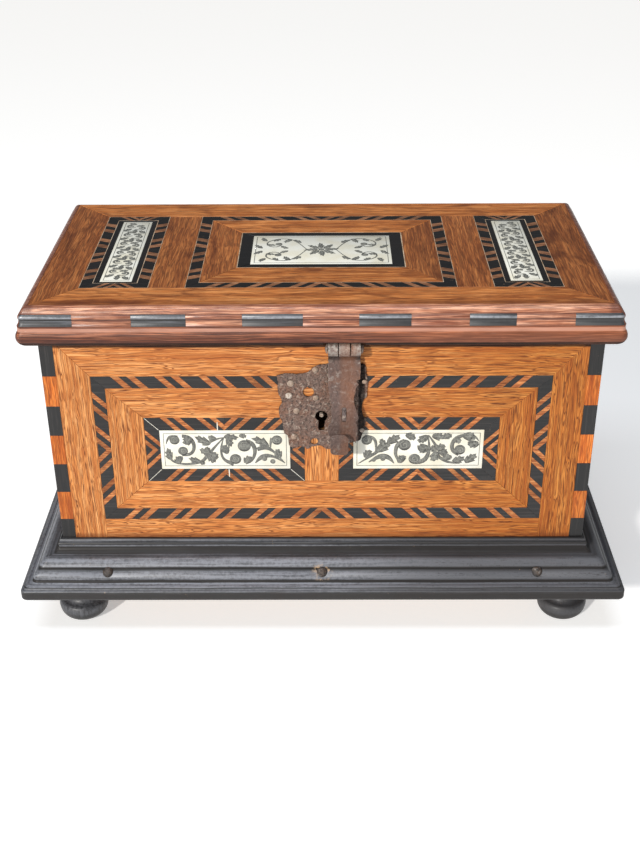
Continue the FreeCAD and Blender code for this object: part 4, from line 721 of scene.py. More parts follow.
class Bench:
    """Mesh tools that the sub-assemblies share."""

    MERGE = 0.002 * MM
    FLAT = math.radians(0.5)
    SHARP = math.radians(40)
    BERTHS = 5
    DENT_DETAIL = 3
    DENT_MIDDLE = 0.6

    @staticmethod
    def alone(piece: bpy.types.Object) -> None:
        """Selects one object and makes it active."""
        bpy.ops.object.select_all(action="DESELECT")
        piece.select_set(True)
        bpy.context.view_layer.objects.active = piece

    @staticmethod
    @contextmanager
    def editing(piece: bpy.types.Object) -> Iterator[None]:
        """Opens one piece in edit mode with everything selected, then closes it."""
        Bench.alone(piece)
        bpy.ops.object.mode_set(mode="EDIT")
        bpy.ops.mesh.select_all(action="SELECT")
        yield
        bpy.ops.object.mode_set(mode="OBJECT")

    @staticmethod
    def solids(mesh: bpy.types.Mesh) -> List[Set[int]]:
        """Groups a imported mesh's vertices by solid, each ending at the face that closes its last open edge.

        Args:
            mesh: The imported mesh, with the faces of each solid in a row.

        Returns:
            The vertices of each solid.
        """
        found: List[Set[int]] = []
        solid: Set[int] = set()
        edges: Set[FrozenSet[Point3]] = set()
        for face in mesh.polygons:
            spots = [tuple(round(part, 6) for part in mesh.vertices[at].co) for at in face.vertices]
            for pair in zip(spots, spots[1:] + spots[:1]):
                edges ^= {frozenset(pair)}
            solid |= set(face.vertices)
            if not edges:
                found.append(solid)
                solid = set()
        return found + [solid] if solid else found

    @staticmethod
    def copied(node: str, name: str) -> bpy.types.Object:
        """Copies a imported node's mesh into a piece of its own, with its triangles joined into faces.

        Each solid is merged in a berth of its own, whole metres away, so that touching solids stay apart.

        Args:
            node: The node to copy.
            name: Name of the piece.

        Returns:
            The piece.
        """
        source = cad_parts[node]
        piece = bpy.data.objects.new(name, source.data.copy())
        piece.data.materials.clear()
        bpy.context.scene.collection.objects.link(piece)
        for count, solid in enumerate(Bench.solids(piece.data)):
            row, column = divmod(count, Bench.BERTHS)
            berth = Vector((column, row % Bench.BERTHS, row // Bench.BERTHS))
            for at in solid:
                piece.data.vertices[at].co += berth
        with Bench.editing(piece):
            bpy.ops.mesh.customdata_custom_splitnormals_clear()
            bpy.ops.mesh.remove_doubles(threshold=Bench.MERGE)
            bpy.ops.mesh.dissolve_limited(angle_limit=Bench.FLAT)
        for vertex in piece.data.vertices:
            vertex.co -= Vector([round(part) for part in vertex.co])
        return piece

    @staticmethod
    def eased(piece: bpy.types.Object, width: float, segments: int = 1, slot: int = 0) -> None:
        """Takes the sharpness off a piece's edges.

        Args:
            piece: The piece.
            width: Width of the bevel in metres.
            segments: Faces across the bevel.
            slot: Material slot of the eased edges.
        """
        Bench.alone(piece)
        bevel = piece.modifiers.new("eased", "BEVEL")
        bevel.width = width
        bevel.segments = segments
        bevel.limit_method = "ANGLE"
        bevel.angle_limit = Bench.SHARP
        bevel.material = slot
        bpy.ops.object.modifier_apply(modifier=bevel.name)

    @staticmethod
    def rounded(piece: bpy.types.Object, radius: float, start: float = 3 * MM, cuts: int = 4) -> None:
        """Rounds the corners where mitred mouldings meet, more the further they stand out, as handling does.

        Args:
            piece: A length of moulding round the carcass.
            radius: Radius of the outermost corner in metres.
            start: How far out from the carcass the rounding starts.
            cuts: Faces across each half of a corner.
        """
        steps = [step for step in range(-cuts, cuts + 1) if step]
        with Bench.editing(piece):
            for side, hand, step in product(SIDES, SIDES, steps):
                bpy.ops.mesh.select_all(action="SELECT")
                along = side * (CARCASS_HALF[0] + radius * step / cuts)
                bpy.ops.mesh.bisect(plane_co=(along, hand * CARCASS_HALF[1], 0), plane_no=(side, -hand, 0))
        for vertex in piece.data.vertices:
            spot = vertex.co
            out = (abs(spot.x) - CARCASS_HALF[0], abs(spot.y) - CARCASS_HALF[1])
            bend = radius * min(1.0, (max(out) - start) / (2 * radius))
            if bend <= abs(out[0] - out[1]):
                continue
            share = 1 - abs(out[0] - out[1]) / bend
            turn = share * math.pi / 4
            pull = (bend * (1 - math.cos(turn)), bend * (share - math.sin(turn)))
            lead, other = pull if out[0] > out[1] else pull[::-1]
            spot.x -= math.copysign(lead, spot.x)
            spot.y -= math.copysign(other, spot.y)
        with Bench.editing(piece):
            bpy.ops.mesh.dissolve_limited(angle_limit=Bench.FLAT)

    @staticmethod
    def smoothed(piece: bpy.types.Object, degrees: float = 35.0) -> None:
        """Shades a piece smooth across shallow edges."""
        Bench.alone(piece)
        bpy.ops.object.shade_smooth_by_angle(angle=math.radians(degrees))

    @staticmethod
    def hammered(piece: bpy.types.Object, voxel: float, dents: Sequence[Point2]) -> None:
        """Gives a forged piece worn edges and an uneven face.

        Args:
            piece: The piece.
            voxel: Size of its new faces in metres.
            dents: Pairs of a dent's size and its depth, in metres.
        """
        Bench.alone(piece)
        remesh = piece.modifiers.new("forged", "REMESH")
        remesh.mode = "VOXEL"
        remesh.voxel_size = voxel
        bpy.ops.object.modifier_apply(modifier=remesh.name)
        for count, (size, depth) in enumerate(dents):
            pattern = bpy.data.textures.new(f"{piece.name}_dents_{count}", "CLOUDS")
            pattern.noise_scale = size
            pattern.noise_depth = Bench.DENT_DETAIL
            pattern.noise_type = "HARD_NOISE"
            dent = piece.modifiers.new("dents", "DISPLACE")
            dent.texture = pattern
            dent.texture_coords = "LOCAL"
            dent.mid_level = Bench.DENT_MIDDLE
            dent.strength = depth
            bpy.ops.object.modifier_apply(modifier=dent.name)
        bpy.ops.object.shade_smooth()

    @staticmethod
    def dressed(piece: bpy.types.Object, finishes: Sequence[bpy.types.Material], body: str, slot: str,
                *nodes: str) -> None:
        """Gives a piece its materials and its body.

        Args:
            piece: The piece.
            finishes: Its material, then that of its edges if they have their own.
            body: The body that it moves with.
            slot: The record's slot of its finish; not used.
            *nodes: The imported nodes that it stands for.
        """
        piece.data.materials.clear()
        for finish in finishes:
            piece.data.materials.append(finish)
        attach(piece, body)
        if nodes:
            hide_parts(*nodes)
        LOG.info("%s: %d faces on %s", piece.name, len(piece.data.polygons), body)


@dataclass
class Joinery:
    """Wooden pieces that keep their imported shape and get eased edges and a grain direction."""

    body: str
    slot: str
    finish: Union[WoodFinish, EbonyFinish]
    grains: Dict[str, Grain]
    ease: float = 0.2 * MM
    segments: int = 1
    seam: Optional[SeamFinish] = None
    corner: float = 0.0

    def build(self) -> None:
        """Builds a dressed copy of each node."""
        for node, grain in self.grains.items():
            piece = Bench.copied(node, f"{node}_dressed")
            finishes = [self.finish.material(grain)]
            if self.seam:
                finishes.append(self.seam.material())
            if self.corner:
                Bench.rounded(piece, self.corner)
            Bench.eased(piece, self.ease, self.segments, len(finishes) - 1)
            Bench.smoothed(piece)
            Bench.dressed(piece, finishes, self.body, self.slot, node)


def ahead(spot: Point2, heading: float, length: float) -> Point2:
    """The point that lies a length away from a spot, in a direction in degrees."""
    turn = math.radians(heading)
    return (spot[0] + length * math.cos(turn), spot[1] + length * math.sin(turn))


def halfway(first: Point2, second: Point2) -> Point2:
    """The point in the middle between two others."""
    return ((first[0] + second[0]) / 2, (first[1] + second[1]) / 2)


@dataclass(frozen=True)
class Stroke:
    """One engraved stroke: its line and its half width at each point, in millimetres."""

    line: List[Point2]
    widths: List[float]

    def mirrored(self) -> "Stroke":
        """The same stroke on the other side of the middle."""
        return Stroke([(-x, y) for x, y in self.line], self.widths)


@dataclass
class Scroll:
    """Traditional leaf scroll in millimetres about the middle of a plaque.

    A leaf's half width at each point of its rib is a share of its width. Each lobe has the point that it
    leaves, its side and its length in widths.
    """

    LEAF_SHARES = (0.4, 1.0, 1.25, 1.1, 0.9, 0.6, 0.05)
    LOBES = ((1, 1, 2.3), (2, -1, 2.2), (3, 1, 1.9), (4, -1, 1.6))
    LOBE_SHARES = (1.05, 0.95, 0.06)
    LOBE_TURN = 50
    BUD_STEPS = 10
    BUD_TIP = 0.05
    SPIRAL_TURN = 40
    SPIRAL_POINTS = 14
    SPIRAL_START = 0.74
    SPIRAL_STEP = 0.048
    SPIRAL_WIDTH = 0.1
    RIB_WIDTH = 0.08

    strokes: List[Stroke] = field(default_factory=list)
    veins: List[Stroke] = field(default_factory=list)

    def stem(self, line: List[Point2], widths: Sequence[float]) -> None:
        """Adds a stem through a few points.

        Args:
            line: The points.
            widths: Half widths, spread evenly along the line.
        """
        last = len(line) - 1
        spread = []
        for step in range(last + 1):
            at = step / last * (len(widths) - 1)
            low = min(int(at), len(widths) - 2)
            spread.append(widths[low] + (widths[low + 1] - widths[low]) * (at - low))
        self.strokes.append(Stroke(line, spread))

    def bud(self, middle: Point2, radius: float, heading: float = 0.0) -> None:
        """Adds a round bud with a spiral cut in it.

        Args:
            middle: Middle of the bud.
            radius: Its radius.
            heading: Angle at which the spiral starts, in degrees.
        """
        angles = [math.pi * step / self.BUD_STEPS for step in range(self.BUD_STEPS + 1)]
        self.strokes.append(Stroke(
            [(middle[0] - radius * math.cos(angle), middle[1]) for angle in angles],
            [max(self.BUD_TIP, radius * math.sin(angle)) for angle in angles]))
        spiral = []
        for step in range(self.SPIRAL_POINTS):
            share = self.SPIRAL_START - self.SPIRAL_STEP * step
            spiral.append(ahead(middle, heading + self.SPIRAL_TURN * step, radius * share))
        self.veins.append(Stroke(spiral, [self.SPIRAL_WIDTH] * self.SPIRAL_POINTS))

    def leaf(self, root: Point2, heading: float, length: float, width: float, bend: float = 30.0) -> None:
        """Adds a lobed leaf with a rib.

        Args:
            root: Where the leaf leaves its stem.
            heading: Direction at the root in degrees.
            length: Length of the leaf.
            width: Half width of its body.
            bend: Turn of the direction from root to tip, in degrees.
        """
        line = [root]
        steps = len(self.LEAF_SHARES) - 1
        for step in range(1, steps + 1):
            line.append(ahead(line[-1], heading + bend * step / steps, length / steps))
        self.strokes.append(Stroke(line, [share * width for share in self.LEAF_SHARES]))
        for place, side, size in self.LOBES:
            base = line[place]
            tip = ahead(base, heading + bend * place / steps + self.LOBE_TURN * side, size * width)
            self.strokes.append(Stroke(
                [base, halfway(base, tip), tip], [share * width for share in self.LOBE_SHARES]))
        rib = line[1:5]
        self.veins.append(Stroke(rib, [self.RIB_WIDTH] * len(rib)))

    def frame(self, half_x: float, half_y: float, width: float) -> None:
        """Adds a thin ruled border."""
        corners = [(-half_x, -half_y), (half_x, -half_y), (half_x, half_y), (-half_x, half_y)]
        for first, second in zip(corners, corners[1:] + corners[:1]):
            self.strokes.append(Stroke([first, halfway(first, second), second], [width] * 3))

    def drawn(self, stems: Sequence[Tuple[List[Point2], Sequence[float]]],
              buds: Sequence[Tuple[Point2, float, float]],
              leaves: Sequence[Tuple[Point2, float, float, float, float]]) -> "Scroll":
        """Adds rows of stems, buds and leaves.

        Args:
            stems: Points and half widths of each stem.
            buds: Middle, radius and heading of each bud.
            leaves: Root, heading, length, half width and bend of each leaf.

        Returns:
            The scroll.
        """
        for stem in stems:
            self.stem(*stem)
        for bud in buds:
            self.bud(*bud)
        for leaf in leaves:
            self.leaf(*leaf)
        return self

    def mirrored(self) -> "Scroll":
        """The same scroll seen in a mirror standing at its middle."""
        strokes, veins = ([stroke.mirrored() for stroke in row] for row in (self.strokes, self.veins))
        return Scroll(strokes, veins)


def ruled(half: Point2, inset: float = 2.6, width: float = 0.22) -> Scroll:
    """Starts a scroll with a thin ruled border, set in from the edges of a plaque of that half size."""
    scroll = Scroll()
    scroll.frame(half[0] - inset, half[1] - inset, width)
    return scroll


def left_scroll(half: Point2) -> Scroll:
    """Draws the scroll of the left front plaque.

    Args:
        half: Half the plaque's length and height in millimetres.

    Returns:
        The scroll.
    """
    stems = (
        ([(-41, -4), (-38.8, -8.2), (-35.3, -10.8), (-29.3, -11.8), (-22.4, -11.4), (-16.4, -9.4),
          (-13.4, -5.6), (-10, -1.2), (-6, 4), (-0.6, 10)], (0.7, 0.8, 0.8, 1.0, 1.4, 0.9, 0.4)),
        ([(-30, 11.2), (-25.8, 11), (-22.4, 7), (-21.6, 2), (-23.2, -2.4), (-27, -4.4), (-30.4, -3.4)],
         (1.3, 1.5, 1.2, 1.1, 1.6)),
        ([(-33, 10.6), (-37, 11.4), (-40.4, 9.2), (-41.4, 4.6)], (1.0, 1.3, 0.2)),
        ([(-0.8, 9.6), (-2.4, 4.9), (-3.2, -1.2), (-2.2, -6.8), (1, -10), (5.6, -11.4)],
         (0.3, 0.8, 0.9, 1.9)),
        ([(14.6, 7.2), (18.4, 6.2), (20.6, 2), (20.9, -2.6), (19.6, -6.8), (17.2, -10.4), (14, -11.6)],
         (1.5, 1.5, 1.0, 0.5)),
        ([(33, 9.4), (31.6, 5.6), (31.8, 1.6)], (1.2, 0.8, 0.5)),
        ([(-0.8, 9.8), (-5.5, 9.4), (-10.6, 6.2)], (0.4, 0.8, 0.9)),
        ([(22.4, 0.2), (26.4, 2.2), (31, 1.0), (36, -3.4), (41.4, -10.6)], (1.5, 1.9, 1.2, 0.7, 0.3)),
        ([(20.8, -11), (23.7, -6.8), (28.4, -4.6), (33.6, -5.4), (38, -8), (41.8, -11)],
         (0.3, 1.7, 1.8, 1.0, 0.6, 0.3)))
    buds = (
        ((-35.3, 8.0), 3.6, 90), ((-29.8, -0.9), 3.5, 250), ((6.9, -7.6), 4.1, 200), ((13.4, 3.2), 4.7, 60),
        ((36.4, 7.8), 3.8, 150), ((27.4, -7.4), 1.9, 0), ((33.2, -9.6), 1.9, 0))
    leaves = (
        ((-38.6, -8), 108, 10, 1.7, -10), ((-33, -11.2), 104, 6.5, 1.8, -40),
        ((-17.4, -10), 166, 9.5, 1.6, -8), ((-16.2, -9.2), 262, 3.2, 1.0, 0),
        ((-11, -3), 162, 8, 1.6, -14), ((-11.4, -2.6), 112, 5.4, 1.4, 10),
        ((-11.8, -3), 294, 8.6, 2.0, 14), ((-11, -3.4), 338, 6.8, 1.7, -8),
        ((-10.2, 4.8), 156, 12.5, 2.0, -8), ((-6, 9), 172, 6, 1.5, 0),
        ((-0.6, 10.4), -2, 10.5, 1.7, 0), ((1.4, 9.8), -62, 8, 1.7, -10),
        ((-3.2, 1), -4, 6.2, 2.1, -30), ((14.2, -11.2), 70, 7, 1.9, -30),
        ((10, 11.2), -4, 5.4, 1.2, 10), ((30.4, 2.2), 128, 14, 2.1, 36),
        ((38.4, -7), 104, 8, 1.8, 14), ((-23.6, 9.6), 210, 7, 2.0, 40))
    return ruled(half).drawn(stems, buds, leaves)


def right_scroll(half: Point2) -> Scroll:
    """Draws the scroll of the right front plaque.

    Args:
        half: Half the plaque's length and height in millimetres.

    Returns:
        The scroll.
    """
    stems = (
        ([(-37.7, 11.2), (-32.4, 10.6), (-29.2, 5.7), (-29.6, -1.6)], (0.8, 1.2, 1.0, 0.7)),
        ([(-42, -11.6), (-35.6, -7.1), (-28.9, -2.1), (-23.4, 3.4)], (0.3, 0.8, 1.4, 1.2)),
        ([(-34.6, -10.4), (-28.9, -6.0), (-23.2, -5.2), (-19.0, -7.7), (-16.6, -11.6)],
         (0.4, 1.7, 2.2, 1.4, 0.2)),
        ([(-9.7, 7.4), (-14.4, 5.2), (-16.1, -1.0), (-15.4, -6.6), (-12.3, -11.2)],
         (1.4, 1.6, 1.3, 1.0, 0.6)),
        ([(-1.6, -10.6), (4.2, -10.2), (7.4, -3.8), (7.9, 3.5), (6.4, 11.6)], (1.6, 2.0, 1.3, 0.8, 0.4)),
        ([(6.8, 11.6), (9.4, 8.0), (12.6, 2.6)], (0.4, 0.8, 1.0)),
        ([(13.1, -4.5), (17.6, -9.0), (23.5, -11.2), (29.7, -11.4)], (1.3, 1.1, 0.8, 0.5)),
        ([(32.6, 11.6), (28.2, 10.6), (24.4, 7.2), (23.2, 1.8), (25.1, -2.5), (28.7, -3.9)],
         (1.2, 1.6, 1.4, 1.3, 1.6)),
        ([(36.0, 11.4), (40.2, 10.6), (42.2, 6.6)], (1.2, 0.9, 0.3)))
    buds = (
        ((-36.2, 7.6), 3.8, 60), ((-9.7, 3.6), 4.5, 90), ((-2.4, -7.8), 4.2, 200), ((29.2, -0.4), 4.0, 250),
        ((-24.6, -7.6), 1.8, 0), ((-31.0, -8.6), 1.5, 0))
    leaves = (
        ((-36.6, -7), 74, 7.5, 1.8, -10), ((-28.4, -1.8), 38, 11, 2.3, 14),
        ((-21.4, 4.6), 40, 11, 2.1, 4), ((-23.6, 3), 112, 6.5, 1.4, 20),
        ((-12.4, -11.2), 84, 7, 1.9, -24), ((-9.2, 11.6), -12, 8, 1.8, -14),
        ((7.6, 1.4), 184, 8, 2.4, 10), ((6.2, 11.2), 214, 8.5, 1.9, 20),
        ((9.4, 10.8), -16, 9, 1.9, 30), ((16.4, 9.4), 16, 7.5, 1.6, 8),
        ((13.4, -1), 56, 7, 1.8, -20), ((13.2, -1), 150, 5.4, 1.6, -10),
        ((13, -1.6), 248, 8.6, 2.1, 20), ((13.8, -1.6), -20, 7.5, 1.9, 24),
        ((17.8, -8.6), 40, 7, 1.7, -20), ((24.6, -10.8), 24, 9.5, 1.9, 10),
        ((31, 10.8), -14, 9, 2.3, 24), ((42.2, 5.2), 196, 8, 2.0, -10),
        ((33.4, -10.8), 36, 10.5, 2.0, 14), ((25.8, 9.4), -58, 5.5, 1.4, 20))
    return ruled(half).drawn(stems, buds, leaves)


def side_scroll(half: Point2) -> Scroll:
    """Draws the paired scrolls of a narrow lid plaque, repeated along it.

    Args:
        half: Half the plaque's width and length in millimetres.

    Returns:
        The scroll.
    """
    inset = 2.2
    margin = 0.8
    scroll = ruled(half, inset)
    gap = 0.6
    reach = half[0] - inset - gap
    repeats = 6
    lag = 0.24
    step = 2 * (half[1] - inset - margin) / (repeats + lag)
    for count in range(repeats):
        start = -half[1] + inset + margin + count * step
        scroll.leaf((0, start + 0.3), 90, 0.5 * step, 1.4, 0)
        for side in SIDES:
            low = start if side > 0 else start + lag * step
            scroll.stem([(side * 0.4, low + 0.50 * step), (side * 0.45 * reach, low + 0.40 * step),
                         (side * 0.85 * reach, low + 0.55 * step), (side * 0.75 * reach, low + 0.78 * step),
                         (side * 0.45 * reach, low + 0.78 * step)], (0.4, 0.8, 0.9))
            scroll.bud((side * 0.45 * reach, low + 0.64 * step), 1.7, 90 * side)
            outer = (side * 0.95 * reach, low + 0.02 * step)
            scroll.leaf(outer, 90 + 25 * side, 0.42 * step, 1.35, 30 * side)
            inner = (side * 0.25, low + 0.84 * step)
            scroll.leaf(inner, 90 - 60 * side, 0.36 * step, 1.2, -20 * side)
    return scroll


def centre_scroll(half: Point2) -> Scroll:
    """Draws the rosette and leaf scrolls of the middle lid plaque.

    Args:
        half: Half the plaque's length and height in millimetres.

    Returns:
        The scroll.
    """
    inset = 2.6
    scroll = ruled(half, inset, 0.25)
    heart = 2.6
    petals = 8
    for angle in range(0, 360, 360 // petals):
        scroll.leaf(ahead((0, 0), angle, heart), angle, 10.5, 1.5, 14)
    scroll.bud((0, 0), 2.2)
    margin = 1.2
    tall = half[1] - inset - margin
    stem = ((19, 0.82), (30, 0.94), (41, 0.62), (38, 0.2), (30, 0.22))
    leaves = (
        ((15, 0.55), 60, 9, 1.3, -30), ((22, 0.86), -40, 9, 1.4, -30), ((31, 0.9), -70, 7, 1.2, 30),
        ((40, 0.7), 40, 8, 1.3, 40), ((40, 0.35), 160, 7, 1.2, 30), ((43, 0.1), 60, 9, 1.3, -20),
        ((24, 0.1), 20, 8, 1.2, 40))
    for side, hand in product(SIDES, SIDES):
        middle = (side * 0.62 * half[0], hand * 0.44 * tall)
        line = [(side * x, hand * y * tall) for x, y in stem]
        scroll.stem([(side * 11, hand * 1.0), *line, (middle[0] - side * 2, middle[1])], (0.35, 0.6, 0.5))
        scroll.bud(middle, 2.6, 90 * hand)
        for (x, y), heading, length, width, bend in leaves:
            turn = hand * heading if side > 0 else 180 - hand * heading
            scroll.leaf((side * x, hand * y * tall), turn, length, width, bend * side * hand)
    return scroll


def half_sizes(node: str, upright: bool) -> Point2:
    """Half the width and half the height of a plaque's face, in millimetres."""
    low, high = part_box(node)
    size = (high - low) / (2 * MM)
    return (size.x, size.z) if upright else (size.x, size.y)


@dataclass
class Plaque:
    """A bone plaque with its filled engraving."""

    node: str
    body: str
    scroll: Scroll
    upright: bool
    band: float = 0.0
    strings: Tuple[Point2, ...] = ()
    string_width: float = 0.45
    slip_gap: float = 0.4
    slip_widths: Tuple[float, ...] = (0.2, 0.14, 0.16)
    tongues: Tuple[Tuple[float, int], ...] = ((-4.8, 1), (2.0, -1))
    tongue_widths: Tuple[float, ...] = (0.35, 0.4, 0.25)
    tongue_root: float = 0.3
    tongue_bow: float = 0.1
    tongue_tip: float = 1.5
    sunk: float = 0.1 * MM
    proud: float = 0.03 * MM
    rib_proud: float = 0.072 * MM
    layer: float = 0.0012 * MM
    layers: int = 31
    underside: float = -0.01 * MM
    ease: float = 0.3 * MM

    def build(self) -> None:
        """Builds the bone, the engraving on it, the ribs left in it, and the slips at its band's mitres."""
        bone = Bench.copied(self.node, f"{self.node}_bone")
        low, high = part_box(self.node)
        for vertex in bone.data.vertices:
            if self.upright and vertex.co.y < low.y + self.sunk:
                vertex.co.y += self.sunk
            if not self.upright and vertex.co.z > high.z - self.sunk:
                vertex.co.z -= self.sunk
        Bench.eased(bone, self.ease, 2)
        Bench.smoothed(bone)
        Bench.dressed(bone, [BONE.material()], self.body, "bone", self.node)
        for strokes, name, proud, finish, slot in (
                (self.scroll.strokes, "engraving", self.proud, ENGRAVING, "ebony"),
                (self.scroll.veins, "ribs", self.rib_proud, RIB, "bone"),
                (self.stringing(), "stringing", self.proud, STRINGING, "bone"),
                (self.slips(), "slips", self.sunk + self.proud, BONE, "bone")):
            if strokes:
                piece = self.laid(strokes, f"{self.node}_{name}", proud)
                Bench.dressed(piece, [finish.material()], self.body, slot)

    def stringing(self) -> List[Stroke]:
        """Thin pale lines let in along the edges of the ebony frame and the bands round the plaque.

        Returns:
            The lines as strokes.
        """
        half_x, half_y = half_sizes(self.node, self.upright)
        lines = Scroll()
        for reach_x, reach_y in self.strings:
            lines.frame(half_x + reach_x, half_y + reach_y, self.string_width)
        return lines.strokes

    def slips(self) -> List[Stroke]:
        """Thin slips of bone at the mitres of the band round the plaque, and tongues at its middles.

        Returns:
            The slips as strokes.
        """
        if not self.band:
            return []
        half_x, half_y = half_sizes(self.node, self.upright)
        found = []
        for side, hand in product(SIDES, SIDES):
            near, far = ((side * (half_x + out), hand * (half_y + out))
                         for out in (self.slip_gap, self.band - self.slip_gap))
            found.append(Stroke([near, halfway(near, far), far], list(self.slip_widths)))
        rise = half_y + 0.5 * self.band
        for x, hand in self.tongues:
            line = [(x, hand * (half_y + self.tongue_root)), (x + self.tongue_bow, hand * rise),
                    (x, hand * (rise + self.tongue_tip))]
            found.append(Stroke(line, list(self.tongue_widths)))
        return found

    def laid(self, strokes: Sequence[Stroke], name: str, proud: float) -> bpy.types.Object:
        """Makes strokes as one flat mesh on the plaque's face, each a little higher than the one before.

        Args:
            strokes: The strokes.
            name: Name of the piece.
            proud: How far the mesh stands off the face, in metres.

        Returns:
            The piece.
        """
        line = bpy.data.curves.new(name, "CURVE")
        line.dimensions = "3D"
        line.bevel_depth = MM
        line.bevel_resolution = 1
        line.resolution_u = 3
        line.use_fill_caps = True
        for stroke in strokes:
            spline = line.splines.new("NURBS")
            spline.points.add(len(stroke.line) - 1)
            for point, (x, y), width in zip(spline.points, stroke.line, stroke.widths):
                point.co = (x * MM, y * MM, 0.0, 1.0)
                point.radius = width
            spline.order_u = 3
            spline.use_endpoint_u = True
        piece = bpy.data.objects.new(name, line)
        bpy.context.scene.collection.objects.link(piece)
        Bench.alone(piece)
        bpy.ops.object.convert(target="MESH")
        piece = bpy.context.view_layer.objects.active
        orders: Dict[int, int] = {}
        order = 0
        reach = 0
        for first, last in sorted(sorted(edge.vertices) for edge in piece.data.edges):
            order += int(first > reach)
            reach = max(reach, last)
            orders[first] = order
            orders[last] = order
        for vertex in piece.data.vertices:
            lift = proud + self.layer * (orders[vertex.index] % self.layers)
            vertex.co.z = lift if vertex.co.z > self.underside else -proud
        low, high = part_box(self.node)
        middle = (low + high) / 2
        if self.upright:
            face = Matrix.Translation((middle.x, low.y + self.sunk, middle.z))
            placed = face @ Matrix.Rotation(math.pi / 2, 4, "X")
        else:
            placed = Matrix.Translation((middle.x, middle.y, high.z - self.sunk))
        piece.data.transform(placed)
        return piece


@dataclass
class Ironwork:
    """Forged pieces: worn edges, dents and pits."""

    body: str
    nodes: Sequence[str]
    finish: IronFinish = IRON
    voxel: float = 0.3 * MM
    dents: Sequence[Point2] = ((2.5 * MM, 0.12 * MM),)

    def build(self) -> None:
        """Builds a forged copy of each node."""
        for node in self.nodes:
            piece = Bench.copied(node, f"{node}_forged")
            Bench.hammered(piece, self.voxel, self.dents)
            Bench.dressed(piece, [self.finish.material()], self.body, "wrought_iron", node)


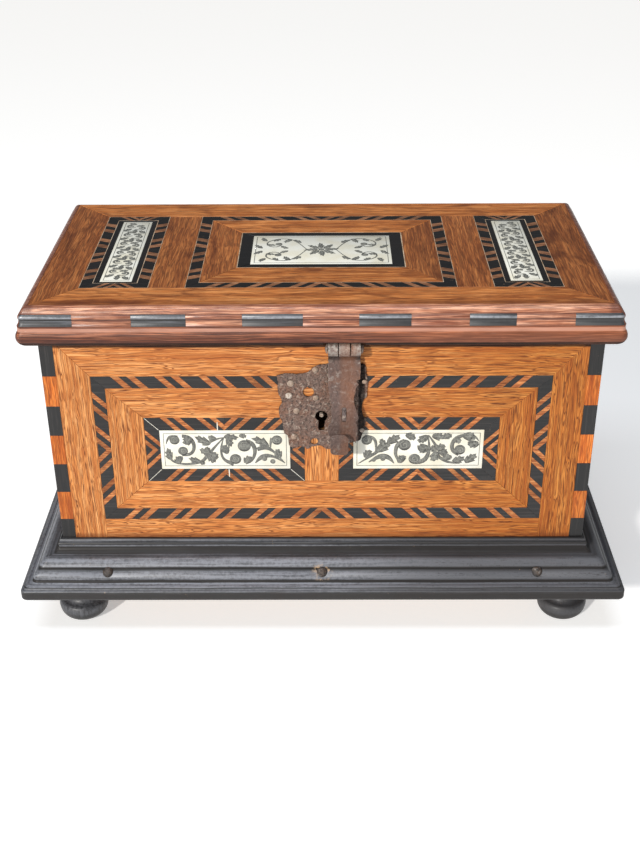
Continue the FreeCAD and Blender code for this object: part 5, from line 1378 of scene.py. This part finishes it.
@dataclass
class Studio:
    """Pale floor, soft lights and the camera of the photograph."""

    focal_px: float = 1213.26
    image_height_px: float = 850.0
    sensor_mm: float = 36.0
    pitch_deg: float = 29.614
    yaw_deg: float = -0.426
    roll_deg: float = 0.347
    eye: Point3 = (0.00436, -0.82773, 0.57716)
    floor_half: float = 6.0
    floor_glow: float = 0.4
    floor_roughness: float = 0.9
    speck_scale: float = 40.0
    speck_share: float = 0.2
    floor_pale: Colour = srgb(232, 232, 232)
    floor_dull: Colour = srgb(226, 226, 225)
    wall_height: float = 5.0
    wall_glow: float = 0.93
    wall_sides: int = 96
    white: Colour = (1.0, 1.0, 1.0, 1.0)
    black: Colour = (0.0, 0.0, 0.0, 1.0)
    sky: float = 0.2
    sky_tint: Colour = (0.95, 0.975, 1.0, 1.0)
    box_size: Point2 = (1.6, 0.5)
    box_spot: Point3 = (-0.25, -0.35, 1.5)
    box_glow: float = 5.5
    box_tint: Point3 = (0.85, 0.92, 1.0)
    key: float = 3.3
    key_tint: Point3 = (1.0, 0.965, 0.91)
    key_turn_deg: float = 32.0
    key_rise_deg: float = 25.0
    key_reach: float = 2.0
    key_spread_deg: float = 4.0

    def build(self) -> None:
        """Builds the camera, the floor, the wall and the lights."""
        self.camera()
        self.floor()
        self.wall()
        self.lights()

    def camera(self) -> None:
        """Sets the camera where the photograph was taken from."""
        data = bpy.data.cameras.new("camera")
        data.sensor_width = self.sensor_mm
        data.lens = self.focal_px * self.sensor_mm / self.image_height_px
        camera = bpy.data.objects.new("camera", data)
        turn = (Matrix.Rotation(math.radians(-self.yaw_deg), 4, "Z")
                @ Matrix.Rotation(math.radians(90 - self.pitch_deg), 4, "X")
                @ Matrix.Rotation(math.radians(-self.roll_deg), 4, "Z"))
        camera.matrix_world = Matrix.Translation(self.eye) @ turn
        bpy.context.scene.collection.objects.link(camera)
        bpy.context.scene.camera = camera

    def floor(self) -> None:
        """Lays a pale floor under the feet."""
        bpy.ops.object.select_all(action="DESELECT")
        bpy.ops.mesh.primitive_plane_add(size=2 * self.floor_half, location=(0, 0, 0))
        ground = bpy.context.object
        ground.name = "floor"
        graph = Graph("floor")
        speck = graph.noise(graph.place(), self.speck_scale, 3.0)
        ground.data.materials.append(graph.finish({
            "Base Color": graph.mix(speck * self.speck_share, self.floor_pale, self.floor_dull),
            "Roughness": self.floor_roughness,
            "Emission Color": self.white, "Emission Strength": self.floor_glow}))

    def wall(self) -> None:
        """Stands a pale round wall at the floor's rim, which the camera sees and which sheds no light."""
        bpy.ops.object.select_all(action="DESELECT")
        bpy.ops.mesh.primitive_cylinder_add(
            vertices=self.wall_sides, radius=self.floor_half, depth=self.wall_height, end_fill_type="NOTHING",
            location=(0, 0, self.wall_height / 2))
        wall = bpy.context.object
        wall.name = "wall"
        bpy.ops.object.transform_apply(location=True, rotation=True, scale=True)
        wall.data.materials.append(Graph("wall").finish({
            "Base Color": self.black, "Specular IOR Level": 0.0,
            "Emission Color": self.white, "Emission Strength": self.wall_glow}))
        for ray in ("diffuse", "glossy", "transmission", "volume_scatter", "shadow"):
            setattr(wall, f"visible_{ray}", False)

    def lights(self) -> None:
        """Sets a pale sky, a wide soft box overhead and one key lamp from the left front."""
        scene = bpy.context.scene
        scene.view_settings.view_transform = "Standard"
        world = bpy.data.worlds.new("studio")
        world.use_nodes = True
        sky = world.node_tree.nodes["Background"]
        sky.inputs["Color"].default_value = self.sky_tint
        sky.inputs["Strength"].default_value = self.sky
        scene.world = world
        box = bpy.data.lights.new("soft_box", "AREA")
        box.shape = "RECTANGLE"
        box.size, box.size_y = self.box_size
        box.energy = self.box_glow * math.pi * box.size * box.size_y
        box.color = self.box_tint
        overhead = bpy.data.objects.new("soft_box", box)
        overhead.location = self.box_spot
        scene.collection.objects.link(overhead)
        key = bpy.data.lights.new("key_lamp", "SUN")
        key.energy = self.key
        key.angle = math.radians(self.key_spread_deg)
        key.color = self.key_tint
        lamp = bpy.data.objects.new("key_lamp", key)
        turn = math.radians(self.key_turn_deg)
        rise = math.radians(self.key_rise_deg)
        spot = Vector((-math.sin(turn) * math.cos(rise), -math.cos(turn) * math.cos(rise), math.sin(rise)))
        facing = (-spot).to_track_quat("-Z", "Y").to_matrix().to_4x4()
        lamp.matrix_world = Matrix.Translation(self.key_reach * spot) @ facing
        scene.collection.objects.link(lamp)


def joinery() -> List[Joinery]:
    """The wooden pieces, by body and wood.

    Returns:
        The groups in building order.
    """
    x, y, z = Grain.X, Grain.Y, Grain.Z
    feet = {f"foot_{end}_{side}": z for end, side in product(("front", "back"), ("left", "right"))}
    veneer = {"ease": 0.3 * MM, "seam": DARK_SEAM}
    turned = {"ease": 0.4 * MM, "segments": 2, "seam": RUBBED_EDGE}
    plinth = {**turned, "corner": 4 * MM}
    strip = {"ease": 0.25 * MM, "segments": 2, "corner": 5 * MM}
    return [
        Joinery("carcass", "carcass_wood", CARCASS, {
            "front_board": x, "back_board": x, "end_board_left": y, "end_board_right": y, "base_board": x}),
        Joinery("carcass", "fruitwood_veneer", FRUITWOOD, {
            "front_veneer_rails": x, "front_veneer_stiles": z, "end_veneer_rails": y, "end_veneer_stiles": z,
            "back_veneer": x}, **veneer),
        Joinery("carcass", "fruitwood_veneer", LAMELLA, {
            "front_banding_wood": x, "end_banding_wood": y}, ease=0.08 * MM),
        Joinery("carcass", "ebony", EBONY, {
            "front_banding_ebony": x, "end_banding_ebony": y, "corner_ebony": z},
            ease=0.15 * MM, seam=PALE_SEAM),
        Joinery("carcass", "padauk", PADAUK, {"corner_padauk": z}, ease=0.15 * MM),
        Joinery("carcass", "ebonised_wood", PLINTH_FRONT, {"plinth_front": x}, **plinth),
        Joinery("carcass", "ebonised_wood", EBONISED, {
            "plinth_back": x, "plinth_left": y, "plinth_right": y}, **plinth),
        Joinery("carcass", "ebonised_wood", EBONISED, feet, **turned),
        Joinery("lid", "carcass_wood", CARCASS, {"lid_board": x}),
        Joinery("lid", "rosewood", ROSEWOOD, {
            "lid_rail_front": x, "lid_rail_back": x, "lid_rail_left": y, "lid_rail_right": y},
            ease=0.3 * MM, segments=2, seam=RUBBED_ROSEWOOD, corner=5 * MM),
        Joinery("lid", "rosewood", STRIPWOOD, {"lid_chequer_rosewood": x}, seam=RUBBED_ROSEWOOD, **strip),
        Joinery("lid", "lid_walnut", LID_RAIL, {"lid_veneer_rails": x}, **veneer),
        Joinery("lid", "lid_walnut", WALNUT, {"lid_veneer_stiles": y}, **veneer),
        Joinery("lid", "lid_walnut", LID_LAMELLA, {"lid_banding_wood": x}, ease=0.08 * MM),
        Joinery("lid", "ebony", LID_EBONY, {"lid_banding_ebony": x}, ease=0.35 * MM, seam=PALE_SEAM),
        Joinery("lid", "ebony", LID_EBONY, {"lid_ebony_frames": x}, ease=0.5 * MM, seam=PALE_SEAM),
        Joinery("lid", "ebony", STRIP_EBONY, {"lid_chequer_ebony": x}, **strip),
    ]


def plaques() -> List[Plaque]:
    """The bone plaques with their scrolls.

    Returns:
        The plaques of the front and the lid.
    """
    left = left_scroll(half_sizes("front_plaque_left", True))
    right = right_scroll(half_sizes("front_plaque_right", True))
    side = side_scroll(half_sizes("lid_plaque_left", False))
    centre = centre_scroll(half_sizes("lid_plaque_centre", False))
    left_band = 10.2
    side_strings = ((4.3, 3.0), (12.3, 11.0))
    centre_strings = ((9.0, 6.4), (33.3, 33.2), (41.8, 41.7))
    return [
        Plaque("front_plaque_left", "carcass", left, True, band=left_band),
        Plaque("front_plaque_right", "carcass", right, True),
        Plaque("lid_plaque_left", "lid", side, False, strings=side_strings),
        Plaque("lid_plaque_right", "lid", side.mirrored(), False, strings=side_strings),
        Plaque("lid_plaque_centre", "lid", centre, False, strings=centre_strings),
    ]


def ironwork() -> List[Ironwork]:
    """The forged pieces, by body.

    Returns:
        The groups in building order.
    """
    coarse = 0.4 * MM
    sheet_dents = ((6 * MM, 0.8 * MM), (2.0 * MM, 0.9 * MM))
    strap_dents = ((8 * MM, 0.6 * MM), (2.2 * MM, 0.35 * MM))
    return [
        Ironwork("carcass", ["lock_plate"], PLATE_IRON, coarse, sheet_dents),
        Ironwork("hasp", ["hasp_strap"], STRAP_IRON, coarse, strap_dents),
        Ironwork("hasp", ["hasp_staple"], LIP_IRON),
        Ironwork("lid", ["hasp_leaf", "hasp_pin"], STRAP_IRON),
        Ironwork("carcass", ["plinth_studs"], STUD_IRON),
        Ironwork("carcass", ["carcass_nails", "lock_key_pin"], NAIL_IRON),
        Ironwork("lid", ["lid_nails"]),
        Ironwork("carcass", ["hinge_left_box_leaf", "hinge_right_box_leaf", "hinge_pins"]),
        Ironwork("lid", ["hinge_left_lid_leaf", "hinge_right_lid_leaf"]),
        Ironwork("carcass", ["lock_cap", "lock_guides", "lock_spring"]),
        Ironwork("bolt", ["lock_bolt"]),
    ]


def main() -> None:
    """Builds every sub-assembly in order."""
    logging.basicConfig(level=logging.INFO, format="%(name)s: %(message)s")
    for assembly in (joinery, plaques, ironwork):
        for group in assembly():
            group.build()
    Studio().build()


if __name__ == "__main__":
    main()
